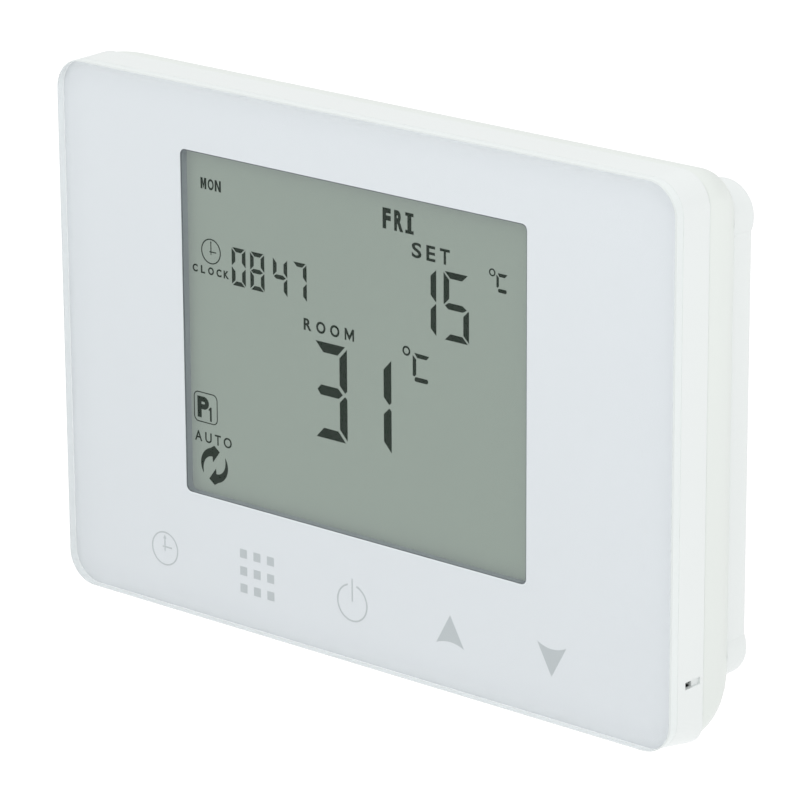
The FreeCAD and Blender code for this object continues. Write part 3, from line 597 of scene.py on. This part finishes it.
def segment(key, x0, x1, z0, z1, tv, th, gap, tip):
    """The outline of one of seven segments in a digit's box. tv and th are the strokes of
    the upright and the level ones, and tip is how far the middle ends of the upright ones
    stand in from the digit's outer side."""
    zc = (z0 + z1) / 2
    flip_x = key in "fe"
    flip_z = key in "cde"
    h = th / 2
    if key in "ad":
        loop = [(x0 + gap, z1), (x1 - gap, z1), (x1 - gap - tv, z1 - th),
                (x0 + gap + tv, z1 - th)]
    elif key == "g":
        loop = [(x0 + tip + gap * 0.6, zc), (x0 + tv * 0.92, zc + h),
                (x1 - tv - gap * 0.9, zc + h), (x1 - tip - gap * 1.3, zc - h * 0.1),
                (x1 - tv - gap * 0.6, zc - h), (x0 + tv * 0.85, zc - h)]
    else:
        end = zc + gap * 0.75
        loop = [(x1, z1 - gap), (x1, end + tip * 0.9), (x1 - tip, end),
                (x1 - tv, end + (tv - tip)), (x1 - tv, z1 - gap - th)]
    if flip_x:
        loop = [(x0 + x1 - x, z) for x, z in loop]
    if flip_z:
        loop = [(x, z0 + z1 - z) for x, z in loop]
    return loop


def digits(text, boxes, z0, z1, tv, th, gap, tip):
    """Seven-segment digits, each in its own box across."""
    loops = []
    for char, (x0, x1) in zip(text, boxes):
        for key in SEGMENTS[char]:
            loops.append(segment(key, x0, x1, z0, z1, tv, th, gap, tip))
    return filled(loops)


def clock_hands(x, z, up, right, tail, stroke, head):
    """Two hands that cross at a point, the upper one with a small arrow head."""
    s = stroke / 2
    cross = [(x - s, z - tail), (x + s, z - tail), (x + s, z - s), (x + right, z - s),
             (x + right, z + s), (x + s, z + s), (x + s, z + up - head),
             (x + head / 2, z + up - head), (x, z + up), (x - head / 2, z + up - head),
             (x - s, z + up - head), (x - s, z + s), (x - tail * 0.7, z + s),
             (x - tail * 0.7, z - s), (x - s, z - s)]
    return [cross]


def crescent_arrow(x, z, turn):
    """A curved arrow that swells from a pointed tail to a broad head."""
    radius, tail_angle, neck_angle, swell = 2.82, 216.0, 106.0, 1.42
    outer, inner = [], []
    steps = 20
    for i in range(steps + 1):
        share = i / steps
        a = math.radians(tail_angle + (neck_angle - tail_angle) * share)
        thick = swell * share ** 0.72
        outer.append((radius * math.cos(a), radius * math.sin(a)))
        inner.append(((radius - thick) * math.cos(a), (radius - thick) * math.sin(a)))
    head = [(0.02, 3.21), (1.15, 2.36), (-0.3, 0.45)]
    loop = outer + head + inner[::-1][:-1]
    c, s = math.cos(math.radians(turn)), math.sin(math.radians(turn))
    return [(x + px * c - pz * s, z + px * s + pz * c) for px, pz in loop]


def seven_day_display():
    """Everything that the display shows."""
    glyph("lcd_day_now", word([("M", -33.68, -32.5), ("O", -32.2, -30.98), ("N", -30.76, -29.5)],
                              25.38, 27.14, 0.03, 0.36))
    glyph("lcd_clock_symbol", filled(ring(-31.78, 15.66, 2.02, 0.19)
                                     + clock_hands(-31.78, 15.6, 1.75, 1.05, 0.45, 0.17, 0.34)))
    glyph("lcd_clock_word", word([("C", -35.66, -34.62), ("L", -33.95, -33.1),
                                  ("O", -32.45, -31.25), ("C", -30.72, -29.68),
                                  ("K", -29.22, -28.15)], 11.9, 13.14, 0.035))
    glyph("lcd_time", digits("0847", ((-27.5, -24.68), (-23.72, -20.85), (-19.07, -16.2),
                                      (-15.1, -12.3)), 11.2, 17.2, 0.72, 0.68, 0.17, 0.05))
    glyph("lcd_room_word", word([("R", -13.0, -11.45), ("O", -10.48, -8.62), ("O", -7.7, -5.84),
                                 ("M", -4.8, -2.95)], 6.86, 8.74, 0.028, 0.31))
    glyph("lcd_room_digits", digits("31", ((-10.98, -4.4), (-2.2, 4.33)), -9.52, 5.66,
                                    1.5, 1.6, 0.36, 0.42))
    unit = ring(7.31, 7.5, 0.76, 0.3, 40)
    unit.append([(8.86, 7.5), (11.75, 7.38), (11.2, 6.78), (9.42, 6.78)])
    unit.append([(8.54, 7.1), (9.2, 6.5), (9.2, 4.15), (8.86, 3.82), (8.54, 3.95)])
    unit.append(rounded(8.9, 11.5, 3.06, 3.78, 0.3))
    glyph("lcd_room_unit", filled(unit))
    day = [letter("F", 2.85, 4.42, 25.6, 28.8, 0.05), letter("R", 5.1, 6.82, 25.6, 28.8, 0.05)]
    i_with_feet = [(7.24, 25.6), (8.82, 25.6), (8.82, 26.12), (8.4, 26.12), (8.4, 28.28),
                   (8.82, 28.28), (8.82, 28.8), (7.24, 28.8), (7.24, 28.28), (7.66, 28.28),
                   (7.66, 26.12), (7.24, 26.12)]
    glyph("lcd_day_set", joined(day + [filled([i_with_feet])], "day"))
    glyph("lcd_set_word", word([("S", 8.46, 10.32), ("E", 11.28, 12.98), ("T", 13.86, 15.74)],
                               22.16, 24.52, 0.02))
    glyph("lcd_set_digits", digits("15", ((9.2, 13.12), (14.55, 19.36)), 10.7, 21.2,
                                   1.06, 1.0, 0.22, 0.1))
    small = ring(23.76, 22.64, 0.6, 0.22, 32)
    small.append([(24.8, 22.72), (26.6, 22.72), (26.15, 22.2), (25.1, 22.2)])
    small.append([(24.56, 22.45), (25.0, 22.05), (25.0, 20.7), (24.76, 20.5), (24.56, 20.62)])
    small.append(rounded(24.86, 26.46, 19.82, 20.4, 0.26))
    glyph("lcd_set_unit", filled(small))
    badge = [rounded(-35.95, -31.0, -12.24, -7.3, 0.95),
             rounded(-35.79, -31.16, -12.08, -7.46, 0.8)[::-1]]
    badge.append([(-32.62, -11.8), (-32.26, -11.8), (-32.26, -9.5), (-32.52, -9.5), (-32.9, -9.95),
                  (-32.78, -10.12), (-32.62, -9.98)])
    glyph("lcd_program_badge", joined([filled(badge),
                                       letter_p(-35.2, -32.8, -11.5, -8.05, 0.84)], "badge"))
    glyph("lcd_auto_word", word([("A", -35.85, -34.35), ("U", -33.7, -32.35),
                                 ("T", -31.65, -30.42), ("O", -29.84, -28.15)],
                                -15.4, -13.72, 0.014))
    glyph("lcd_cycle_arrows", filled([crescent_arrow(-31.85, -18.8, 0),
                                      crescent_arrow(-31.85, -18.8, 180)]))


def arrow_key(x, z_tip, z_base, half, hollow, steps=12):
    """A solid arrow head with straight sides and a hollow base."""
    loop = [(x, z_tip)]
    sign = 1 if z_base > z_tip else -1
    for i in range(steps + 1):
        u = 1 - 2 * i / steps
        loop.append((x - half * u, z_base - sign * hollow * (1 - u * u)))
    return [loop]


def key_icons():
    """The symbols of the five touch keys, from left to right."""
    icon("key_icon_clock", filled(ring(-40.5, -33.72, 2.8, 0.24)
                                  + clock_hands(-40.5, -33.42, 2.0, 1.5, 0.72, 0.24, 0.7)))
    squares = []
    for i in range(3):
        for j in range(3):
            x, z = -24.6 + 2.79 * i, -30.12 - 2.84 * j
            squares.append(bar(x, x + 1.44, z - 1.44, z))
    icon("key_icon_grid", filled(squares))
    icon("key_icon_power", filled(open_ring(-1.68, -33.7, 3.06, 0.27, 107, 433)
                                  + [bar(-1.8, -1.56, -33.5, -29.8)]))
    icon("key_icon_up", filled(arrow_key(17.62, -31.12, -36.0, 2.7, 0.62)))
    icon("key_icon_down", filled(arrow_key(37.0, -36.14, -31.1, 2.74, 0.75)))


def front_print():
    """The print film in one level layer just behind the sheet, open at the display."""
    hold = PRINT_MARGIN
    edge = [PANEL_LO.x / MM + hold, PANEL_HI.x / MM - hold, PANEL_LO.z / MM + hold,
            PANEL_HI.z / MM - hold]
    loops = [rounded(*edge, SHEET_CORNER / MM - hold, 16),
             rounded(*window_edges(), WINDOW_CORNER)[::-1]]
    film = piece("front_print", upright(filled(loops), *PRINT_DEPTHS), "white_print", FRONT_UNIT)
    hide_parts("printed_mask")


def window_edges():
    """The window's left, right, lower and upper edges in mm."""
    (cx, cz), (w, h) = WINDOW_CENTRE, WINDOW_SIZE
    return cx - w / 2, cx + w / 2, cz - h / 2, cz + h / 2


def window_trim():
    """A painted highlight round the window's sides and foot: a flat band a shade lighter than the
    print. And a thin dark line of painted shade inside the window."""
    x0, x1, z0, z1 = window_edges()
    # painted highlight: a lighter band along the window's sides and foot
    outer = rounded(x0 - HIGHLIGHT_W, x1 + HIGHLIGHT_W, z0 - HIGHLIGHT_FOOT, z1 + HIGHLIGHT_W, WINDOW_CORNER + HIGHLIGHT_W)
    inner = rounded(x0, x1, z0, z1, WINDOW_CORNER)
    n = len(outer) // 4
    half = n // 2
    open_top = (outer[n + half:] + outer[:half] + inner[:half][::-1]
                + inner[n + half:][::-1])
    piece("window_edge_highlight", upright(filled([open_top]), *ICON_DEPTHS), "rim_white", FRONT_UNIT)
    # painted shade: a thin dark line just inside the window's edge
    w = EDGE_SHADE_W
    inset = rounded(x0 + w, x1 - w, z0 + w * 0.5, z1 - w, WINDOW_CORNER)
    piece("window_edge_shade", upright(filled([inner, inset[::-1]]), *EDGE_SHADE_DEPTHS), "keyline",
          FRONT_UNIT)


def window_gasket():
    """The soft grey ring that keeps dust out between the film and the display's face."""
    x0, x1, z0, z1 = window_edges()
    w = GASKET_W
    loops = [rounded(x0 - w, x1 + w, z0 - w, z1 + w, WINDOW_CORNER + w),
             rounded(x0, x1, z0, z1, WINDOW_CORNER)[::-1]]
    piece("window_gasket", upright(filled(loops), *GASKET_DEPTHS), "gasket_grey", FRONT_UNIT)


seven_day_display()
key_icons()
front_print()
window_trim()
window_gasket()


# ------------------------------------------------------------------ springs

def spring_coils():
    """The two battery springs as wound wire, in the room the CAD sleeves keep."""
    wire, turns, steps = 0.28 * MM, 3.5, 140
    closed_end = 0.12
    lo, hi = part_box("battery_springs")
    mesh = NODES["battery_springs"].data
    middle = (lo.x + hi.x) / 2
    made = []
    for side in (-1, 1):
        co = [v.co for v in mesh.vertices if (v.co.x - middle) * side > 0]
        x0, x1 = min(c.x for c in co), max(c.x for c in co)
        y0, y1 = min(c.y for c in co), max(c.y for c in co)
        z0, z1 = min(c.z for c in co), max(c.z for c in co)
        y, z = (y0 + y1) / 2, (z0 + z1) / 2
        radius = (z1 - z0) / 2 - wire
        curve = bpy.data.curves.new("coil", "CURVE")
        curve.dimensions = "3D"
        curve.bevel_depth = wire
        curve.bevel_resolution = 3
        curve.use_fill_caps = True
        spline = curve.splines.new("POLY")
        spline.points.add(steps)
        for i in range(steps + 1):
            share = i / steps
            a = 2 * math.pi * turns * share
            along = min(1.0, max(0.0, (share - closed_end) / (1.0 - 2 * closed_end)))
            x = x0 + wire + (x1 - x0 - 2 * wire) * along
            spline.points[i].co = (x, y + radius * math.cos(a), z + radius * math.sin(a), 1.0)
        made.append(mesh_of(curve, "coil"))
    coils = piece("battery_spring_coils", joined(made, "coils"), "spring_steel", BASE)
    for poly in coils.data.polygons:
        poly.use_smooth = True
    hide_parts("battery_springs")


spring_coils()


# ------------------------------------------------------------------ batteries

SHARP_DEG = 35


def lathed(profile, y, z, steps=64):
    """A turned mesh round an X axis from (x, radius, material index) points; the index is
    that of the band which starts at the point."""
    bm = bmesh.new()
    rows = []
    for x, r, _ in profile:
        if r == 0.0:
            rows.append([bm.verts.new((x, y, z))] * steps)
            continue
        rows.append([bm.verts.new((x, y + r * math.cos(2 * math.pi * k / steps),
                                   z + r * math.sin(2 * math.pi * k / steps)))
                     for k in range(steps)])
    for (a, b), (_, _, index) in zip(zip(rows, rows[1:]), profile):
        for k in range(steps):
            n = (k + 1) % steps
            corners = []
            for v in (a[k], a[n], b[n], b[k]):
                if v not in corners:
                    corners.append(v)
            face = bm.faces.new(corners)
            face.material_index = index
            face.smooth = True
    bmesh.ops.recalc_face_normals(bm, faces=bm.faces)
    mesh = bpy.data.meshes.new("turned")
    bm.to_mesh(mesh)
    bm.free()
    mesh.set_sharp_from_angle(angle=math.radians(SHARP_DEG))
    return mesh


def battery_cell(name, node, nub_right):
    """One AAA cell: a bare crimped can in a two-tone jacket, with a ring round its button."""
    lo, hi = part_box(node)
    y, z = (lo.y + hi.y) / 2, (lo.z + hi.z) / 2
    r = (hi.z - lo.z) / 2
    length = hi.x - lo.x
    jacket, band, steel, seal = 0, 1, 2, 3
    turned = [(0.0, 0.0, steel), (0.0, 3.9 * MM, steel), (0.15 * MM, 4.1 * MM, seal),
              (0.25 * MM, 4.6 * MM, jacket), (0.05 * MM, 4.9 * MM, jacket),
              (0.35 * MM, r, jacket), (30.0 * MM, r, band), (41.8 * MM, r, jacket),
              (43.0 * MM, r, jacket), (43.4 * MM, r - 0.4 * MM, jacket),
              (43.3 * MM, r - 0.9 * MM, seal), (42.9 * MM, r - 1.1 * MM, steel),
              (42.9 * MM, 2.6 * MM, steel), (43.4 * MM, 1.95 * MM, steel),
              (length - 0.1 * MM, 1.85 * MM, steel), (length, 1.7 * MM, steel),
              (length, 0.0, steel)]
    profile = [((lo.x + x) if nub_right else (hi.x - x), radius, index)
               for x, radius, index in turned]
    cell = piece(name, lathed(profile, y, z), "battery_jacket", BASE)
    for extra in ("battery_band", "spring_steel", "elastomer"):
        cell.data.materials.append(MATERIALS[extra])
    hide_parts(node)


battery_cell("battery_lower_cell", "battery_lower", True)
battery_cell("battery_upper_cell", "battery_upper", False)


# ------------------------------------------------------------------ boards

# How far the details on a board sink into its face, and how far each kind stands out of it.
SINK = 0.01 * MM
TRACK_RISE = 0.03 * MM
MAINS_TRACK_RISE = 0.04 * MM
GOLD_RISE = 0.05 * MM
SOLDER_RISE = 0.22 * MM
LEAD_RISE = 0.4 * MM


def slab(bm, x0, x1, y0, y1, z0, z1):
    """Adds a box."""
    for v in bmesh.ops.create_cube(bm, size=1.0)["verts"]:
        v.co = Vector((x0 if v.co.x < 0 else x1, y0 if v.co.y < 0 else y1,
                       z0 if v.co.z < 0 else z1))


def track(bm, points, width, y0, y1):
    """Adds a copper track of straight runs through (x, z) points; the runs overlap by half
    their width at each bend."""
    for (xa, za), (xb, zb) in zip(points, points[1:]):
        run = Vector((xb - xa, 0.0, zb - za))
        if run.length < 1e-6:
            continue
        along = run.normalized() * width * 0.5
        side = Vector((-along.z, 0.0, along.x))
        ends = [Vector((xa, 0.0, za)) - along, Vector((xb, 0.0, zb)) + along]
        outline = [ends[0] + side, ends[1] + side, ends[1] - side, ends[0] - side]
        low = [bm.verts.new((p.x, y0, p.z)) for p in outline]
        top = [bm.verts.new((p.x, y1, p.z)) for p in outline]
        bm.faces.new(low)
        bm.faces.new(top[::-1])
        for k in range(4):
            n = (k + 1) % 4
            bm.faces.new((low[k], top[k], top[n], low[n]))


def finished(bm, name):
    """The mesh, with its faces turned outwards."""
    bmesh.ops.recalc_face_normals(bm, faces=bm.faces)
    mesh = bpy.data.meshes.new(name)
    bm.to_mesh(mesh)
    bm.free()
    return mesh


def main_board_tracks():
    """Copper under the mask on the back of the main board: tracks that fan out from the chip,
    and a bundle along the top edge."""
    lo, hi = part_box("main_pcb")
    chip_lo, chip_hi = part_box("controller_chip")
    y0, y1 = hi.y - SINK, hi.y + TRACK_RISE
    mid_x, mid_z = (chip_lo.x + chip_hi.x) / 2, (chip_lo.z + chip_hi.z) / 2
    bm = bmesh.new()
    fan, pitch, width = 11, 0.8 * MM, 0.26 * MM
    for i in range(fan):
        off = (i - fan // 2) * pitch
        reach = (6.5 + 1.1 * i) * MM
        start = (chip_lo.x - 0.1 * MM, mid_z + off)
        knee = (start[0] - 2.0 * MM - 0.5 * pitch * i, start[1])
        down = (knee[0] - reach * 0.5, knee[1] - reach * 0.5)
        far = (down[0] - (18.0 + 2.2 * i) * MM, down[1])
        track(bm, [start, knee, down, far], width, y0, y1)
        if i % 2 == 0:
            foot = (mid_x + off, chip_lo.z - 0.1 * MM)
            bend = (foot[0], foot[1] - 2.2 * MM)
            track(bm, [foot, bend, (bend[0] + 1.2 * MM, bend[1] - 1.2 * MM)], width, y0, y1)
    bundle, bundle_width = 6, 0.3 * MM
    for i in range(bundle):
        z = hi.z - (3.4 + 1.1 * i) * MM
        turn_x = lo.x + (38.0 + 1.1 * i) * MM
        track(bm, [(lo.x + 9.0 * MM, z), (lo.x + (34.0 + 1.1 * i) * MM, z),
                   (turn_x, z - 4.0 * MM), (turn_x, mid_z - 20.0 * MM)],
              bundle_width, y0, y1)
    piece("main_board_tracks", finished(bm, "tracks"), "track_green", FRONT_UNIT)


def contact_pads():
    """Gold pads on the main board, one under each leaf contact."""
    lo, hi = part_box("contact_fingers")
    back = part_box("main_pcb")[1].y
    bm = bmesh.new()
    count, finger_w, pad_half = 6, 1.5 * MM, 0.95 * MM
    pitch = (hi.x - lo.x - finger_w) / (count - 1)
    for i in range(count):
        x = lo.x + finger_w / 2 + pitch * i
        slab(bm, x - pad_half, x + pad_half, back - SINK, back + GOLD_RISE,
             hi.z - 3.0 * MM, hi.z + 1.0 * MM)
    piece("contact_pads", finished(bm, "pads"), "finger_gold", FRONT_UNIT)


def solder_pads():
    """Solder fillets round the ends of the small chip parts, which stand in rows that are
    each shifted a little, and along the crystal's two leads."""
    bm = bmesh.new()
    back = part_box("main_pcb")[1].y
    lo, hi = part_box("small_parts")
    rows, count = 3, 5
    for row in range(rows):
        z = hi.z - (0.6 + 3.0 * row) * MM
        for i in range(count):
            x = lo.x + (3.2 * i + 0.4 * row) * MM
            for x0, x1 in ((x - 0.3 * MM, x + 0.35 * MM), (x + 1.65 * MM, x + 2.3 * MM)):
                slab(bm, x0, x1, back - SINK, back + SOLDER_RISE, z - 0.7 * MM, z + 0.7 * MM)
    can_lo, can_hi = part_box("clock_crystal")
    mid_z = (can_lo.z + can_hi.z) / 2
    for side in (-1, 1):
        z = mid_z + side * 0.55 * MM
        track(bm, [(can_lo.x - 2.4 * MM, z), (can_lo.x + 0.1 * MM, z)], 0.3 * MM,
              back - SINK, back + LEAD_RISE)
    piece("solder_pads", finished(bm, "solder"), "solder", FRONT_UNIT)


def power_board_tracks():
    """Tracks on the front of the power board: wide mains ones from the terminals' poles, and
    thin ones near the top edge."""
    lo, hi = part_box("power_board")
    term_lo, term_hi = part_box("terminal_block")
    y0, y1 = lo.y - MAINS_TRACK_RISE, lo.y + SINK
    bm = bmesh.new()
    for i in range(3):
        x = term_lo.x + (2.54 + 5.08 * i) * MM
        up = term_hi.z + (1.0 + 1.3 * i) * MM
        track(bm, [(x, term_hi.z - 0.5 * MM), (x, up), (x - (9.0 + 3.0 * i) * MM, up)],
              0.9 * MM, y0, y1)
    for i in range(4):
        z = hi.z - (1.6 + 1.2 * i) * MM
        track(bm, [(lo.x + 3.0 * MM, z), (lo.x + 14.0 * MM, z),
                   (lo.x + 16.0 * MM, z - 2.0 * MM), (lo.x + 19.0 * MM, z - 2.0 * MM)],
              0.4 * MM, y0, y1)
    piece("power_board_tracks", finished(bm, "tracks"), "track_green", BASE)


main_board_tracks()
contact_pads()
solder_pads()
power_board_tracks()


# ------------------------------------------------------------------ studio

# The room's light by direction, and the pale paper floor.
WORLD_LEVEL = 0.88
WORLD_FRONT = 0.26
WORLD_RIGHT = -0.07
WORLD_UP = 0.24
FLOOR_Z = -0.30
FLOOR_HALF = 6.0
FLOOR_GRID = 12
FLOOR_GREY = 0.5
FLOOR_GLOW = 0.62

# The one lamp: its place, what it points at, its side and its power in watts.
KEY_PLACE = (0.44, -0.50, 0.66)
KEY_TARGET = (0.02, -0.01, 0.0)
KEY_SIDE = 0.64
KEY_POWER = 1.6

# The photograph's viewpoint, solved from the edges of the front face.
CAMERA_TARGET = (0.00936, -0.0235, 0.00123)
CAMERA_DISTANCE = 0.704679
CAMERA_AZIMUTH = 40.53
CAMERA_ELEVATION = 17.81
CAMERA_ROLL = -0.33
CAMERA_LENS = 214.78
CAMERA_SENSOR = 36.0


def room_light():
    """An even white room, brighter towards the front and the top."""
    world = bpy.data.worlds.new("studio")
    bpy.context.scene.world = world
    world.use_nodes = True
    nt = world.node_tree
    nt.nodes.clear()
    out = nt.nodes.new("ShaderNodeOutputWorld")
    back = nt.nodes.new("ShaderNodeBackground")
    back.inputs["Color"].default_value = (1.0, 1.0, 1.0, 1.0)
    coord = nt.nodes.new("ShaderNodeTexCoord")
    split = nt.nodes.new("ShaderNodeSeparateXYZ")
    nt.links.new(coord.outputs["Generated"], split.inputs[0])
    level = WORLD_LEVEL
    for letter_, slope in (("X", WORLD_RIGHT), ("Y", -WORLD_FRONT), ("Z", WORLD_UP)):
        node = nt.nodes.new("ShaderNodeMath")
        node.operation = "MULTIPLY_ADD"
        nt.links.new(split.outputs["XYZ".index(letter_)], node.inputs[0])
        node.inputs[1].default_value = slope
        if isinstance(level, float):
            node.inputs[2].default_value = level
        else:
            nt.links.new(level, node.inputs[2])
        level = node.outputs[0]
    nt.links.new(level, back.inputs["Strength"])
    nt.links.new(back.outputs[0], out.inputs["Surface"])


def paper_floor():
    """A wide pale floor that glows a little, so that it stays even and white."""
    bm = bmesh.new()
    bmesh.ops.create_grid(bm, x_segments=FLOOR_GRID, y_segments=FLOOR_GRID, size=FLOOR_HALF)
    for v in bm.verts:
        v.co.z = FLOOR_Z
    mesh = bpy.data.meshes.new("floor")
    bm.to_mesh(mesh)
    bm.free()
    floor = bpy.data.objects.new("floor", mesh)
    bpy.context.scene.collection.objects.link(floor)
    t = Tree("floor_paper")
    paper = t.add("ShaderNodeBsdfDiffuse")
    paper.inputs["Color"].default_value = (FLOOR_GREY, FLOOR_GREY, FLOOR_GREY, 1.0)
    glow = t.add("ShaderNodeEmission")
    glow.inputs["Color"].default_value = (1.0, 1.0, 1.0, 1.0)
    glow.inputs["Strength"].default_value = FLOOR_GLOW
    both = t.add("ShaderNodeAddShader")
    t.put(both.inputs[0], paper.outputs[0])
    t.put(both.inputs[1], glow.outputs[0])
    mesh.materials.append(t.done(both))


def key_light():
    """A soft square lamp, high on the right in front."""
    data = bpy.data.lights.new("key_light", "AREA")
    data.shape = "RECTANGLE"
    data.size = data.size_y = KEY_SIDE
    data.energy = KEY_POWER
    obj = bpy.data.objects.new("key_light", data)
    bpy.context.scene.collection.objects.link(obj)
    obj.location = KEY_PLACE
    obj.rotation_mode = "QUATERNION"
    aim = Vector(KEY_TARGET) - Vector(KEY_PLACE)
    obj.rotation_quaternion = aim.to_track_quat("-Z", "Y")


def camera():
    """The camera, turned about its line of sight by the roll."""
    data = bpy.data.cameras.new("camera")
    data.sensor_width = CAMERA_SENSOR
    data.lens = CAMERA_LENS
    data.clip_start, data.clip_end = 0.02, 50.0
    obj = bpy.data.objects.new("camera", data)
    bpy.context.scene.collection.objects.link(obj)
    az, el = math.radians(CAMERA_AZIMUTH), math.radians(CAMERA_ELEVATION)
    roll = math.radians(CAMERA_ROLL)
    back = Vector((math.sin(az) * math.cos(el), -math.cos(az) * math.cos(el), math.sin(el)))
    level_x = Vector((math.cos(az), math.sin(az), 0.0))
    level_y = back.cross(level_x)
    x = level_x * math.cos(roll) + level_y * math.sin(roll)
    y = level_y * math.cos(roll) - level_x * math.sin(roll)
    place = Vector(CAMERA_TARGET) + back * CAMERA_DISTANCE
    obj.matrix_world = Matrix(((x.x, y.x, back.x, place.x), (x.y, y.y, back.y, place.y),
                               (x.z, y.z, back.z, place.z), (0, 0, 0, 1)))
    bpy.context.scene.camera = obj


room_light()
paper_floor()
key_light()
camera()
scene = bpy.context.scene
scene.view_settings.view_transform = "Standard"
scene.view_settings.look = "None"
scene.view_settings.exposure = 0.0
scene.view_settings.gamma = 1.0
